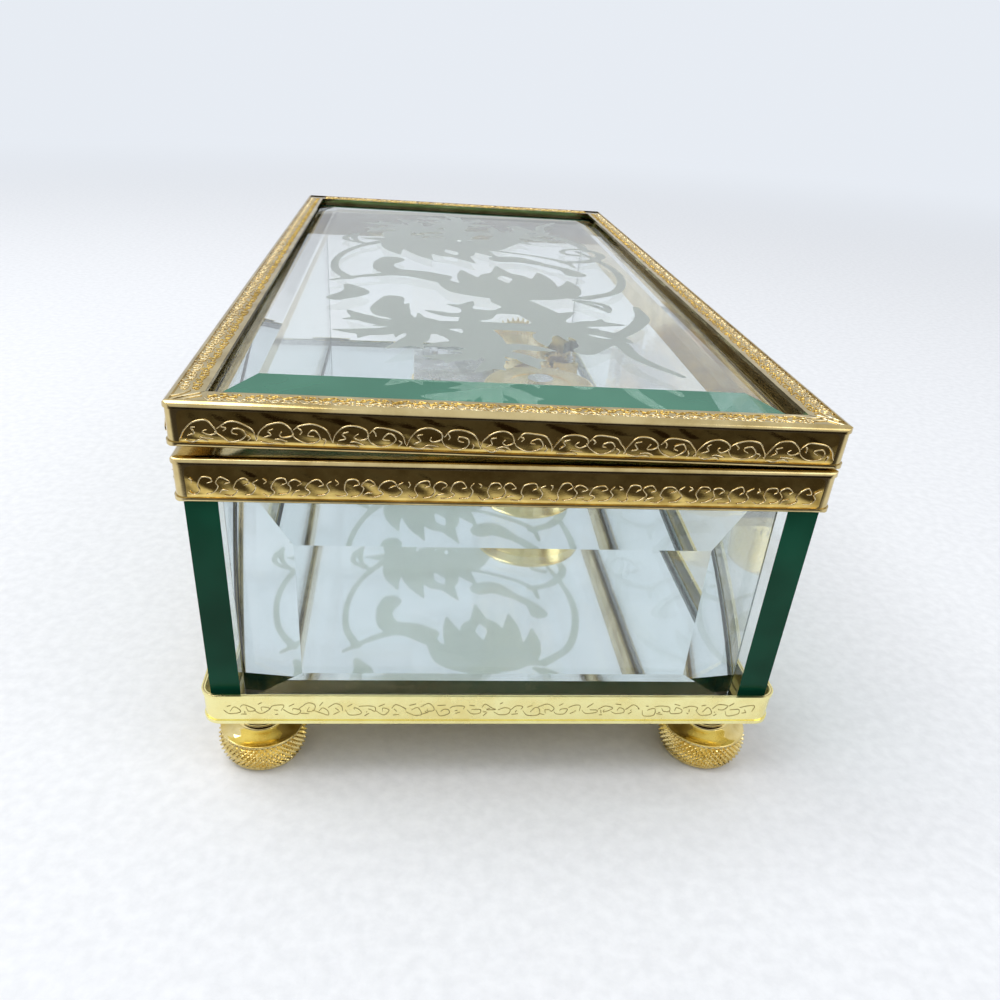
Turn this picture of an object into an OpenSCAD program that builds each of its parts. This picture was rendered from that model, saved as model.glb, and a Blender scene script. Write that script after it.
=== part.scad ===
// Bevelled glass casket with an embossed brass-strip frame, a hinged lid
// and a small comb-and-cylinder musical movement on its mirror floor.
// Origin: centre of the footprint on the surface that the feet stand on, +Z up.
// +X is the side that lifts, -X the hinge side, -Y the short front end.

/* [Casket] */
// Width over the lid frame
lid_w = 80; // [70:0.5:110]
// Length over the lid frame
lid_l = 160; // [150:0.5:220]
// Clear height of the glass walls above the base plate
wall_h = 37.9; // [34:0.1:60]
// How far the lid frame stands out past the wall frame on each side
lid_overhang = 0.05; // [0:0.05:0.3]

/* [Glass] */
// Thickness of the wall and lid glass
glass_t = 4; // [3:0.1:5]
// Thickness left at the ground edge of an end panel's bevel
end_edge_t = 1.5; // [1:0.1:2.8]
// Width of an end panel's bevel along the vertical edges
end_bevel_side = 8.5; // [4:0.1:12]
// Width of an end panel's bevel along the top edge
end_bevel_top = 11.3; // [4:0.1:14]
// Width of an end panel's bevel along the bottom edge
end_bevel_bottom = 6.7; // [3:0.1:10]
// Thickness left at the ground edge of the lid glass's bevel
lid_edge_t = 2.5; // [1.5:0.1:2.8]
// Width of the lid bevel along the long sides
lid_bevel_side = 8; // [5:0.1:12]
// Width of the lid bevel along the ends
lid_bevel_end = 12.4; // [5:0.1:16]
// Glue line between the end panels and the side panels
glue_gap = 0.05; // [0.02:0.01:0.2]

/* [Frame strips] */
// Thickness of the brass strip
strip_t = 0.5; // [0.3:0.05:0.7]
// Height of the lid frame
lid_h = 5.35; // [5.2:0.05:7]
// Width of the lid frame's two flanges
lid_flange = 4.25; // [3:0.05:6]
// Height of the frame on the wall tops
rim_h = 5.6; // [4:0.1:8]
// Gap between the wall frame's outer face and the glass
rim_stand_off = 0.55; // [0.2:0.05:1]
// Radius of the bends at the upright corners
corner_r = 1.6; // [1:0.1:3]
// Radius of the rolled upper edge
roll_r = 0.9; // [0.5:0.05:1.2]
// Radius of the lower edge
hem_r = 0.3; // [0.1:0.05:0.5]
// Depth of the sunk field that carries the embossing
field_depth = 0.2; // [0.1:0.05:0.3]
// Width of the plain border beside a sunk field
field_border = 0.5; // [0.3:0.05:1]
// Width of the mitre slits in the lid flange
mitre_slit = 0.12; // [0.05:0.01:0.3]

/* [Base] */
// How far the tray stands out past the glass on each side
tray_stand_off = 1.4; // [1:0.05:3]
// Height of the tray strip
tray_h = 4.8; // [4:0.1:8]
// Radius of the tray's upright corners
tray_corner_r = 2.5; // [1:0.1:4]
// Width of the flange that turns in under the base plate
tray_flange = 4; // [2.5:0.1:6]
// Thickness of the base plate
plate_t = 0.6; // [0.5:0.1:1.5]
// Thickness of the packing card
card_t = 1.1; // [0.5:0.1:1.5]
// Thickness of the floor mirror
mirror_t = 3; // [1:0.1:4]

/* [Feet] */
// Height of a foot
foot_h = 10.5; // [9:0.1:16]
// Diameter of the knurled rim
foot_d = 13; // [10:0.1:16]
// Diameter of the neck
foot_neck_d = 7; // [5:0.1:8]
// Height of the knurled rim
foot_rim_h = 4.4; // [3:0.1:5]
// Foot axis to the tray's outer face
foot_inset = 6.8; // [6.5:0.1:12]
// Radius of the foot screw's shank
foot_screw_r = 1.5; // [1:0.1:2]
// Radius of the foot screw's thin head
foot_screw_head_r = 3; // [2.5:0.1:4]

/* [Hinges] */
// Gap between lid frame and wall frame at the hinge side
hinge_gap = 1.4; // [1.3:0.05:2]
// Gap between lid frame and wall frame at the opening side
front_gap = 0.3; // [0.3:0.05:1]
// Length of one hinge
hinge_l = 18; // [12:0.5:30]
// Distance of each hinge's middle from the middle of the casket
hinge_y = 45; // [20:1:55]
// Outer radius of the knuckles
knuckle_r = 0.6; // [0.55:0.01:0.62]
// Radius of the hinge pin
hinge_pin_r = 0.3; // [0.2:0.01:0.32]
// Thickness of a hinge leaf
leaf_t = 0.3; // [0.2:0.05:0.4]
// Width of a hinge leaf
leaf_w = 3.2; // [2:0.1:4]
// Hinge axis to the wall frame's outer face
hinge_inset = 0.35; // [0.3:0.05:0.5]

/* [Movement] */
// Barrel axis to the inner face of the side wall beside it
barrel_wall_gap = 20.5; // [18:0.1:24]
// Place of the barrel axis along Y
barrel_y = -3.5; // [-20:0.1:20]
// Radius of the spring barrel
barrel_r = 11.6; // [10:0.1:12]
// Height of the barrel's top above the mirror
barrel_top = 15.6; // [14:0.1:20]
// Thickness of the bedplate
bed_t = 1.8; // [1.5:0.1:2.6]
// Radius of the pinned cylinder
cylinder_r = 6.3; // [5:0.1:6.5]
// Length of the pinned cylinder
cylinder_l = 28; // [18:0.1:30]
// Number of comb teeth
comb_teeth = 28; // [16:1:30]
// Teeth on the great wheel
great_teeth = 48; // [48:1:48]
// Teeth on the cylinder's pinion
cylinder_pinion_teeth = 16; // [16:1:16]
// Teeth on the cylinder's wheel
cylinder_wheel_teeth = 40; // [40:1:40]
// Teeth on the second arbor's pinion
second_pinion_teeth = 10; // [10:1:10]
// Teeth on the worm wheel
worm_wheel_teeth = 20; // [20:1:20]
// Radius of the winding arbor
arbor_r = 1.6; // [1.2:0.1:2]
// Radius of the cylinder's arbor
pivot_r = 0.7; // [0.5:0.05:0.9]
// Radius of the second arbor and of the governor's shaft
fine_pivot_r = 0.4; // [0.3:0.05:0.5]
// Radial running clearance of arbors and pins in their bores
run_clear = 0.05; // [0.02:0.01:0.08]
// Radius of the governor fan
fan_r = 3.4; // [2.5:0.1:3.6]

/* [Hidden] */
$fn = 48;

// Colours
gilt = [0.72, 0.62, 0.38];
pale_gold = [0.88, 0.80, 0.50];
brass = [0.85, 0.68, 0.30];
steel = [0.70, 0.71, 0.73];
green_glass = [0.55, 0.78, 0.70, 0.5];

// Heights, from the surface up
tray_z = foot_h;
plate_z = tray_z + strip_t;
card_z = plate_z + plate_t;
mirror_z = card_z + card_t;
floor_z = mirror_z + mirror_t;
wall_z = plate_z + plate_t;
wall_top = wall_z + wall_h;
rim_top = wall_top + strip_t;
rim_z = rim_top - rim_h;
lid_z = rim_top + hinge_gap;

// Plan sizes
rim_w = lid_w - 2 * lid_overhang;
rim_l = lid_l - 2 * lid_overhang;
box_w = rim_w - 2 * (strip_t + rim_stand_off);
box_l = rim_l - 2 * (strip_t + rim_stand_off);
tray_w = box_w + 2 * tray_stand_off;
tray_l = box_l + 2 * tray_stand_off;
inner_w = box_w - 2 * glass_t;
inner_l = box_l - 2 * glass_t;
floor_clear = 0.1;
plate_clear = 0.1;
leg_gap = 0.1;
rim_window_w = inner_w - 2 * (leg_gap + strip_t);
rim_window_l = inner_l - 2 * (leg_gap + strip_t);
lid_glass_clear = 0.4;
barrel_x = inner_w / 2 - barrel_wall_gap;

// Hinges
hinge_x = -rim_w / 2 + hinge_inset;
hinge_rise = hinge_gap / 2 - 0.1;
hinge_z = rim_top + hinge_rise;
lid_tilt = asin((hinge_gap - front_gap) / (lid_w / 2 - hinge_x));
knuckle_l = hinge_l / 3;
knuckle_end_gap = 0.1;
knuckle_side_gap = 0.15;
leaf_seat_gap = 0.02;

// Feet
foot_x = tray_w / 2 - foot_inset;
foot_y = tray_l / 2 - foot_inset;
foot_sole_h = 0.7;
foot_shoulder_h = 1;
foot_screw_depth = 6;
foot_screw_end_gap = 0.5;
// the tray's flange widens into a pad at each corner, past the foot screw's head
foot_screw_land = 0.7;
foot_pad = foot_inset + foot_screw_head_r + foot_screw_land;
foot_screw_head_t = 0.45;
screw_play = 0.15;

// Movement: heights and places
bed_top = floor_z + bed_t;
works_gap = 0.3;
tooth_module = 0.5;
fine_module = 0.4;
great_r = great_teeth * tooth_module / 2;
great_inner_r = barrel_r + works_gap;
great_outer_r = great_inner_r + 1.1;
great_hub_h = 0.8;
great_disc_t = 1.2;
great_tooth_h = 1;
great_z = bed_top + works_gap;
great_disc_z = great_z + great_hub_h;
great_tooth_top = great_disc_z + great_disc_t + great_tooth_h;
cup_z = great_disc_z + great_disc_t;
cup_top = floor_z + barrel_top;
cup_t = 0.6;
cup_round = 1.2;
cylinder_pinion_r = cylinder_pinion_teeth * tooth_module / 2;
mesh_depth = 0.35;
cylinder_z = great_tooth_top - mesh_depth + cylinder_pinion_r;
pinion_x = barrel_x - great_outer_r;
pinion_t = great_outer_r - great_inner_r - 0.05;
bracket_t = 1.1;
bracket_x = pinion_x - 0.6 - bracket_t;
cylinder_x = bracket_x - 0.6 - cylinder_l;
wheel_t = 1;
cylinder_wheel_x = cylinder_x - 0.1 - wheel_t;
cylinder_wheel_r = cylinder_wheel_teeth * fine_module / 2;
frame_t = 1;
frame_x = cylinder_wheel_x - 0.7 - frame_t;
second_pinion_r = second_pinion_teeth * fine_module / 2;
second_drop = 10;
second_y = barrel_y - (cylinder_wheel_r + second_pinion_r) * cos(second_drop);
second_z = cylinder_z - (cylinder_wheel_r + second_pinion_r) * sin(second_drop);
worm_module = 0.28;
worm_wheel_r = worm_wheel_teeth * worm_module / 2;
worm_wheel_tip = 0.15;
worm_pitch_r = 0.85;
worm_core_r = 0.78;
worm_throw = 0.25;
worm_lead = 2 * PI * worm_wheel_r / worm_wheel_teeth;
worm_turns = 5;
worm_x = cylinder_wheel_x + 4;
worm_y = second_y - worm_wheel_r - worm_pitch_r;
stay_gap = 3;
stay_x = worm_x + stay_gap;
frame_foot_h = 1;
frame_foot_w = 4;
frame_arm_w = 3.6;
frame_side = 2.4;
frame_web_h = 2;
frame_over = 1.6;
stay_side = 1.4;
stay_over = 1.1;
fine_pivot_depth = 0.7;
fan_h = 2.4;
fan_t = 0.4;
fan_hub_r = 1;
fan_z = second_z + worm_wheel_r + worm_wheel_tip + 2 * works_gap;
frame_arm_z = fan_z + fan_h + 0.5;
bed_left = frame_x - 1.2;
bed_right = barrel_x + great_outer_r + 0.2;
bed_rim = 0.7;
bed_back_l = 26;
bed_front = worm_y - frame_side - bed_rim;
bed_back = barrel_y + bed_back_l;
bed_corner_r = 3;
bed_window_gap = 0.7;
pin_len = 0.45;
pin_w = 0.32;
pins_per_track = 3;
comb_tip_gap = 0.15;
comb_tip_y = barrel_y + cylinder_r + pin_len + comb_tip_gap;
comb_t = 0.9;
comb_top = cylinder_z + 0.2;
comb_base_l = 8;
comb_edge = 0.8;
comb_pitch = (cylinder_l - 1.4) / (comb_teeth - 1);
comb_slot = 0.25;
comb_back = bed_back - 0.5;
bed_screw_r = 1;
bed_screw_head_r = 2.2;
bed_screw_head_t = 1;
bed_screw_inset = 3.2;
front_screw_inset = 4.2;
front_screw_reach = 12.4;
front_screw_x = barrel_x - front_screw_reach;
works_screw_at = [
    [bed_right - bed_screw_inset, bed_back - bed_screw_inset],
    [bed_left + bed_screw_inset, bed_back - bed_screw_inset],
    [front_screw_x, bed_front + front_screw_inset]
];
comb_screw_inset = 4;
comb_screw_head_r = 1.9;
comb_screw_head_t = 1.1;
comb_screw_hold = 3.5;
comb_screw_x = [cylinder_x + comb_screw_inset, cylinder_x + cylinder_l - comb_screw_inset];
comb_screw_y = comb_back - comb_base_l / 2;
lug_w = 2.4;
lug_y = [barrel_y - cylinder_r - lug_w, barrel_y + cylinder_r + lug_w];
lug_l = 3.2;
lug_t = 0.9;
bearing_boss_r = 2.6;
small_screw_r = 0.5;
small_head_r = 0.9;
small_head_t = 0.6;
small_screw_hold = 1.4;
small_bore_depth = 1.6;
lug_screw_at = [for (y = lug_y) [bracket_x - lug_l / 2, y]];
frame_screw_at = [for (x = [worm_x + 1.9, frame_x + 2.6]) [x, worm_y - 0.9]];

arbor_head_r = 2.6;
arbor_head_t = 0.8;

// Key
key_boss_r = 2.8;
key_boss_z = 3.6;
key_boss_h = 5.6;
key_lobe_r = 3.3;
key_lobe_x = 6.2;
key_t = 1.4;
key_floor_gap = 1.6;

// ---- Helpers ----

// Rectangle with round corners, centred
module round_rect(w, l, r) {
    square([w - 2 * r, l], center = true);
    square([w, l - 2 * r], center = true);
    for (sx = [-1, 1], sy = [-1, 1])
        translate([sx * (w / 2 - r), sy * (l / 2 - r)]) circle(r);
}

// Section of a block with rolled upper and hemmed lower edges
module edge_profile(w, h, top_r, low_r) {
    translate([-w / 2, low_r]) square([w, h - top_r - low_r]);
    translate([-w / 2 + top_r, low_r]) square([w - 2 * top_r, h - low_r]);
    translate([-w / 2 + low_r, 0]) square([w - 2 * low_r, h - top_r]);
    for (s = [-1, 1]) {
        translate([s * (w / 2 - top_r), h - top_r]) circle(top_r);
        translate([s * (w / 2 - low_r), low_r]) circle(low_r);
    }
}

// Outer form of a strip frame: round upright corners, rolled top, hemmed bottom
module frame_block(w, l, h) {
    intersection() {
        linear_extrude(h) round_rect(w, l, corner_r);
        rotate([90, 0, 0])
            linear_extrude(l + 2, center = true) edge_profile(w, h, roll_r, hem_r);
        rotate([90, 0, 90])
            linear_extrude(w + 2, center = true) edge_profile(l, h, roll_r, hem_r);
    }
}

// Shallow sunk field round the outside of a frame, from z0 to z1
module side_field(w, l, r, z0, z1) {
    translate([0, 0, z0]) linear_extrude(z1 - z0) difference() {
        square([w + 4, l + 4], center = true);
        round_rect(w - 2 * field_depth, l - 2 * field_depth, r - field_depth);
    }
}

// Glass panel with ground bevels round a full-thickness field: side is the width of the two
// along h, low and high of those along w. w along X, h along Y, plain face down
module bevelled_glass(w, h, edge_t, side, low, high) {
    hull() {
        cube([w, h, edge_t]);
        translate([side, low, 0]) cube([w - 2 * side, h - low - high, glass_t]);
    }
}

// Toothed outline with one tooth centred on +X
module gear_outline(teeth, pitch_r, tip, root, fill = 0.42) {
    step = 360 / teeth;
    half = step * fill / 2;
    polygon([for (i = [0 : teeth - 1], p = [
        [pitch_r - root, -half * 1.35], [pitch_r + tip, -half * 0.55],
        [pitch_r + tip, half * 0.55], [pitch_r - root, half * 1.35]
    ]) [p[0] * cos(i * step + p[1]), p[0] * sin(i * step + p[1])]]);
}

// Turns a shape drawn in XY so that it faces along +X
module facing_x(x, y, z) {
    translate([x, y, z]) rotate([90, 0, 90]) children();
}

module rod_x(x, y, z, r, l) {
    facing_x(x, y, z) cylinder(r = r, h = l);
}

module rod_z(x, y, z, r, l) {
    translate([x, y, z]) cylinder(r = r, h = l);
}

// Slotted round-head screw, seat at z = 0, shank down
module slotted_screw(shank_r, shank_l, head_r, head_t) {
    difference() {
        cylinder(r = head_r, h = head_t);
        translate([-head_r - 1, -head_r * 0.12, head_t * 0.55])
            cube([2 * head_r + 2, head_r * 0.24, head_t]);
    }
    translate([0, 0, -shank_l]) cylinder(r = shank_r, h = shank_l + 0.05);
}

// Lays a closed lid down on its opening side about the hinge axis
module lid_seat() {
    translate([hinge_x, 0, hinge_z]) rotate([0, lid_tilt, 0])
        translate([-hinge_x, 0, -hinge_z]) children();
}

// Turns the works, drawn with the cylinder towards -X, so that it runs towards +Y from the barrel
module works_seat() {
    translate([barrel_x, barrel_y, 0]) mirror([1, 1, 0]) translate([-barrel_x, -barrel_y, 0]) children();
}

module at_feet() {
    for (sx = [-1, 1], sy = [-1, 1]) translate([sx * foot_x, sy * foot_y, 0]) children();
}

// ---- Base ----

module tray_strip() {
    inside_w = tray_w - 2 * strip_t;
    inside_l = tray_l - 2 * strip_t;
    color(pale_gold) difference() {
        translate([0, 0, tray_z]) linear_extrude(tray_h) round_rect(tray_w, tray_l, tray_corner_r);
        translate([0, 0, tray_z + strip_t]) linear_extrude(tray_h)
            round_rect(inside_w, inside_l, tray_corner_r - strip_t);
        translate([0, 0, tray_z - 1]) linear_extrude(tray_h) difference() {
            square([tray_w - 2 * tray_flange, tray_l - 2 * tray_flange], center = true);
            for (sx = [-1, 1], sy = [-1, 1]) translate([sx * tray_w / 2, sy * tray_l / 2])
                square(2 * foot_pad, center = true);
        }
        side_field(tray_w, tray_l, tray_corner_r, tray_z + field_border, tray_z + tray_h - field_border);
        at_feet() rod_z(0, 0, tray_z - 1, foot_screw_r + screw_play, strip_t + 2);
    }
}

// Holes that the arbor and the works' screws pass through
module works_holes(z, h) {
    rod_z(barrel_x, barrel_y, z, arbor_r + 0.8, h);
    works_seat() for (p = works_screw_at) rod_z(p[0], p[1], z, bed_screw_r + screw_play, h);
}

module base_plate() {
    w = tray_w - 2 * (strip_t + plate_clear);
    l = tray_l - 2 * (strip_t + plate_clear);
    color(brass) difference() {
        translate([0, 0, plate_z]) linear_extrude(plate_t)
            round_rect(w, l, tray_corner_r - strip_t - plate_clear);
        at_feet() rod_z(0, 0, plate_z - 1, foot_screw_head_r + screw_play, plate_t + 2);
        works_holes(plate_z - 1, plate_t + 2);
    }
}

module packing_card() {
    color([0.35, 0.33, 0.30]) difference() {
        translate([0, 0, card_z]) linear_extrude(card_t)
            square([inner_w - 2 * floor_clear, inner_l - 2 * floor_clear], center = true);
        works_holes(card_z - 1, card_t + 2);
    }
}

module floor_mirror() {
    color([0.80, 0.84, 0.85]) difference() {
        translate([0, 0, mirror_z]) linear_extrude(mirror_t)
            square([inner_w - 2 * floor_clear, inner_l - 2 * floor_clear], center = true);
        works_holes(mirror_z - 1, mirror_t + 2);
    }
}

// ---- Walls ----

// End panel, bevelled face towards -Y
module end_glass() {
    w = inner_w - 2 * glue_gap;
    color(green_glass) translate([-w / 2, -box_l / 2 + glass_t, wall_z]) rotate([90, 0, 0])
        bevelled_glass(w, wall_h, end_edge_t, end_bevel_side, end_bevel_bottom, end_bevel_top);
}

// Side panel, plain, with square ends that show beside the end panels
module side_glass() {
    color(green_glass) translate([box_w / 2 - glass_t, -box_l / 2, wall_z]) cube([glass_t, box_l, wall_h]);
}

module front_glass() { end_glass(); }
module rear_glass() { rotate([0, 0, 180]) end_glass(); }
module right_glass() { side_glass(); }
module left_glass() { rotate([0, 0, 180]) side_glass(); }

// Folded channel that grips the four wall tops
module wall_frame() {
    color(gilt) difference() {
        translate([0, 0, rim_z]) frame_block(rim_w, rim_l, rim_h);
        translate([0, 0, rim_z - 1]) linear_extrude(rim_h + 2)
            square([rim_window_w, rim_window_l], center = true);
        translate([0, 0, rim_z - 1]) linear_extrude(rim_h + 1 - strip_t) difference() {
            round_rect(rim_w - 2 * strip_t, rim_l - 2 * strip_t, corner_r - strip_t);
            square([rim_window_w + 2 * strip_t, rim_window_l + 2 * strip_t], center = true);
        }
        side_field(rim_w, rim_l, corner_r, rim_z + field_border, rim_top - roll_r);
    }
}

// ---- Feet ----

// Turned foot: neck, sloping shoulder, knurled rim and a small sole
module foot(sx, sy) {
    rim_r = foot_d / 2;
    neck_r = foot_neck_d / 2;
    rim_top_z = foot_sole_h + foot_rim_h;
    shoulder_z = rim_top_z + foot_shoulder_h;
    color(pale_gold) translate([sx * foot_x, sy * foot_y, 0]) difference() {
        rotate_extrude() polygon([
            [0, 0], [rim_r * 0.72, 0], [rim_r * 0.78, foot_sole_h * 0.4], [rim_r * 0.82, foot_sole_h],
            [rim_r * 0.93, foot_sole_h + foot_rim_h * 0.25], [rim_r, foot_sole_h + foot_rim_h * 0.6],
            [rim_r * 0.99, foot_sole_h + foot_rim_h * 0.85], [rim_r * 0.95, rim_top_z],
            [rim_r * 0.90, rim_top_z + 0.15], [neck_r + 0.5, shoulder_z], [neck_r, shoulder_z + 0.15],
            [neck_r, foot_h - 0.9], [neck_r + 0.35, foot_h - 0.7], [neck_r + 0.35, foot_h], [0, foot_h]
        ]);
        rod_z(0, 0, foot_h - foot_screw_depth, foot_screw_r + run_clear, foot_screw_depth + 1);
    }
}

module foot_front_left() { foot(-1, -1); }
module foot_front_right() { foot(1, -1); }
module foot_rear_left() { foot(-1, 1); }
module foot_rear_right() { foot(1, 1); }

// Thin-headed screws that clamp the feet to the tray's flange, heads sunk in the base plate
module foot_screws() {
    shank_l = foot_screw_depth - foot_screw_end_gap + strip_t;
    color(steel) at_feet() translate([0, 0, plate_z])
        slotted_screw(foot_screw_r, shank_l, foot_screw_head_r, foot_screw_head_t);
}

// ---- Lid ----

module lid_frame() {
    window_w = lid_w - 2 * lid_flange;
    window_l = lid_l - 2 * lid_flange;
    color(gilt) lid_seat() translate([0, 0, lid_z]) difference() {
        frame_block(lid_w, lid_l, lid_h);
        translate([0, 0, strip_t]) linear_extrude(lid_h - 2 * strip_t - field_depth)
            round_rect(lid_w - 2 * strip_t, lid_l - 2 * strip_t, corner_r - strip_t);
        translate([0, 0, -1]) linear_extrude(lid_h + 2) square([window_w, window_l], center = true);
        side_field(lid_w, lid_l, corner_r, field_border, lid_h - roll_r);
        // sunk field of the top flange, inside the rolled edge
        translate([0, 0, lid_h - field_depth]) linear_extrude(1)
            square([lid_w - 2 * roll_r, lid_l - 2 * roll_r], center = true);
        // mitre slits
        for (sx = [-1, 1], sy = [-1, 1])
            translate([sx * (window_w / 2 - 0.5), sy * (window_l / 2 - 0.5), lid_h - strip_t - field_depth - 0.1])
                rotate([0, 0, atan2(sy, sx)])
                    translate([0, -mitre_slit / 2, 0]) cube([(lid_flange - roll_r + 0.3) * sqrt(2), mitre_slit, 2]);
    }
}

module lid_glass() {
    w = lid_w - 2 * (strip_t + lid_glass_clear);
    l = lid_l - 2 * (strip_t + lid_glass_clear);
    color(green_glass) lid_seat() translate([-w / 2, -l / 2, lid_z + strip_t])
        bevelled_glass(w, l, lid_edge_t, lid_bevel_side, lid_bevel_end, lid_bevel_end);
}

// ---- Hinges ----

// One leaf with its knuckles on the hinge axis; side is 1 above the axis and -1 below it.
// spans lists the start and length of each knuckle along Y
module hinge_leaf(side, spans) {
    low = side > 0 ? hinge_gap - hinge_rise - leaf_seat_gap - leaf_t : leaf_seat_gap - hinge_rise;
    difference() {
        union() {
            translate([knuckle_r + knuckle_side_gap, -hinge_l / 2, low]) cube([leaf_w, hinge_l, leaf_t]);
            for (s = spans) {
                translate([0, s[0], 0]) rotate([-90, 0, 0]) cylinder(r = knuckle_r, h = s[1]);
                translate([0, s[0], low]) cube([knuckle_r + knuckle_side_gap + 0.1, s[1], leaf_t]);
            }
        }
        translate([0, -hinge_l / 2 - 1, 0]) rotate([-90, 0, 0])
            cylinder(r = hinge_pin_r + run_clear, h = hinge_l + 2);
    }
}

module at_hinges() {
    for (s = [-1, 1]) translate([hinge_x, s * hinge_y, hinge_z]) children();
}

module case_hinge_leaves() {
    outer_l = knuckle_l - knuckle_end_gap;
    color(brass) at_hinges()
        hinge_leaf(-1, [[-hinge_l / 2, outer_l], [hinge_l / 2 - outer_l, outer_l]]);
}

module lid_hinge_leaves() {
    color(brass) lid_seat() at_hinges() hinge_leaf(1, [[-knuckle_l / 2, knuckle_l]]);
}

module hinge_pins() {
    color(steel) at_hinges() translate([0, -hinge_l / 2, 0]) rotate([-90, 0, 0])
        cylinder(r = hinge_pin_r, h = hinge_l);
}

// ---- Movement: fixed pieces ----

module bedplate() {
    block_x = cylinder_x - 0.6;
    block_l = cylinder_l + 0.8;
    block_y = comb_back - comb_base_l;
    window_w = 2 * (cylinder_wheel_r + bed_window_gap);
    color(brass) difference() {
        union() {
            translate([(bed_left + bed_right) / 2, (bed_front + bed_back) / 2, floor_z]) linear_extrude(bed_t)
                round_rect(bed_right - bed_left, bed_back - bed_front, bed_corner_r);
            translate([block_x, block_y, bed_top - 0.1])
                cube([block_l, comb_base_l, comb_top - comb_t - bed_top + 0.1]);
        }
        // window under the cylinder and its wheel
        translate([cylinder_wheel_x - bed_window_gap, barrel_y - window_w / 2, floor_z - 1])
            cube([cylinder_l - 3 * wheel_t, window_w, bed_t + 2]);
        rod_z(barrel_x, barrel_y, floor_z - 1, arbor_r + run_clear, bed_t + 2);
        for (p = works_screw_at) rod_z(p[0], p[1], floor_z - 1, bed_screw_r + run_clear, bed_t + 2);
        for (x = comb_screw_x) translate([x, comb_screw_y, comb_top - comb_t - comb_screw_hold - 0.5])
            cylinder(r = bed_screw_r + run_clear, h = comb_screw_hold + 1);
        for (p = concat(lug_screw_at, frame_screw_at))
            rod_z(p[0], p[1], bed_top - small_bore_depth, small_screw_r + run_clear, small_bore_depth + 1);
    }
}

// Screws from under the base plate into the bedplate
module works_screws() {
    color(steel) for (p = works_screw_at) translate([p[0], p[1], plate_z]) rotate([180, 0, 0])
        slotted_screw(bed_screw_r, floor_z + bed_t - 0.2 - plate_z, bed_screw_head_r, bed_screw_head_t);
}

// Steel comb: slots deepen towards the bass end
module comb() {
    y0 = comb_tip_y;
    x0 = cylinder_x + 0.7;
    color(steel) difference() {
        translate([x0 - comb_edge / 2, y0, comb_top - comb_t])
            cube([cylinder_l - 1.4 + comb_edge, comb_back - y0, comb_t]);
        for (i = [0 : comb_teeth - 2])
            translate([x0 + (i + 0.5) * comb_pitch - comb_slot / 2, y0 - 1, comb_top - comb_t - 1])
                cube([comb_slot, comb_back - comb_base_l - y0 + 1 - i * 0.17, comb_t + 2]);
        for (x = comb_screw_x) rod_z(x, comb_screw_y, comb_top - comb_t - 1, bed_screw_r + screw_play, 3);
    }
}

module comb_screws() {
    color(steel) for (x = comb_screw_x) translate([x, comb_screw_y, comb_top])
        slotted_screw(bed_screw_r, comb_t + comb_screw_hold, comb_screw_head_r, comb_screw_head_t);
}

// Bearing of the cylinder beside the barrel, with two screwed lugs
module cylinder_bracket() {
    low_w = lug_y[1] - lug_y[0] + lug_w;
    color(brass) difference() {
        union() {
            facing_x(bracket_x, barrel_y, bed_top) linear_extrude(bracket_t) {
                translate([-low_w / 2, 0]) square([low_w, 1.6]);
                translate([-bearing_boss_r, 0]) square([2 * bearing_boss_r, cylinder_z - bed_top]);
                translate([0, cylinder_z - bed_top]) circle(bearing_boss_r);
            }
            for (y = lug_y)
                translate([bracket_x - lug_l, y - lug_w / 2, bed_top]) cube([lug_l + 0.1, lug_w, lug_t]);
        }
        rod_x(bracket_x - 1, barrel_y, cylinder_z, pivot_r + run_clear, bracket_t + 2);
        for (p = lug_screw_at) rod_z(p[0], p[1], bed_top - 1, small_screw_r + screw_play, 3);
    }
}

// Cage of the air-brake governor: side plate, foot, stay and top arm
module governor_frame() {
    plate_h = frame_arm_z + frame_t - bed_top;
    foot_l = stay_x + frame_t - frame_x;
    color(brass) difference() {
        union() {
            facing_x(frame_x, 0, bed_top) linear_extrude(frame_t) {
                translate([worm_y - frame_side, 0]) square([second_y - worm_y + frame_side + frame_over, plate_h]);
                translate([second_y, 0]) square([barrel_y - second_y, frame_web_h]);
                translate([barrel_y - bearing_boss_r, 0]) square([2 * bearing_boss_r, cylinder_z - bed_top]);
                translate([barrel_y, cylinder_z - bed_top]) circle(bearing_boss_r);
            }
            translate([frame_x, worm_y - frame_side, bed_top]) cube([foot_l, frame_foot_w, frame_foot_h]);
            translate([frame_x, worm_y - frame_arm_w / 2, frame_arm_z])
                cube([worm_x + frame_arm_w / 2 - frame_x, frame_arm_w, frame_t]);
            // stay that carries the far end of the second arbor
            translate([stay_x, worm_y - stay_side, bed_top])
                cube([frame_t, second_y - worm_y + stay_side + stay_over, second_z + stay_side - bed_top]);
        }
        rod_x(frame_x - 1, barrel_y, cylinder_z, pivot_r + run_clear, frame_t + 2);
        rod_x(frame_x - 1, second_y, second_z, fine_pivot_r + run_clear, frame_t + 2);
        rod_x(stay_x - 1, second_y, second_z, fine_pivot_r + run_clear, frame_t + 2);
        rod_z(worm_x, worm_y, bed_top + frame_foot_h - fine_pivot_depth, fine_pivot_r + run_clear, 2);
        rod_z(worm_x, worm_y, frame_arm_z - 1, fine_pivot_r + run_clear, frame_t + 2);
        for (p = frame_screw_at) rod_z(p[0], p[1], bed_top - 1, small_screw_r + screw_play, 3);
    }
}

module bracket_screws() {
    color(steel) {
        for (p = lug_screw_at) translate([p[0], p[1], bed_top + lug_t])
            slotted_screw(small_screw_r, lug_t + small_screw_hold, small_head_r, small_head_t);
        for (p = frame_screw_at) translate([p[0], p[1], bed_top + frame_foot_h])
            slotted_screw(small_screw_r, frame_foot_h + small_screw_hold, small_head_r, small_head_t);
    }
}

// ---- Movement: winding and barrel ----

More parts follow.
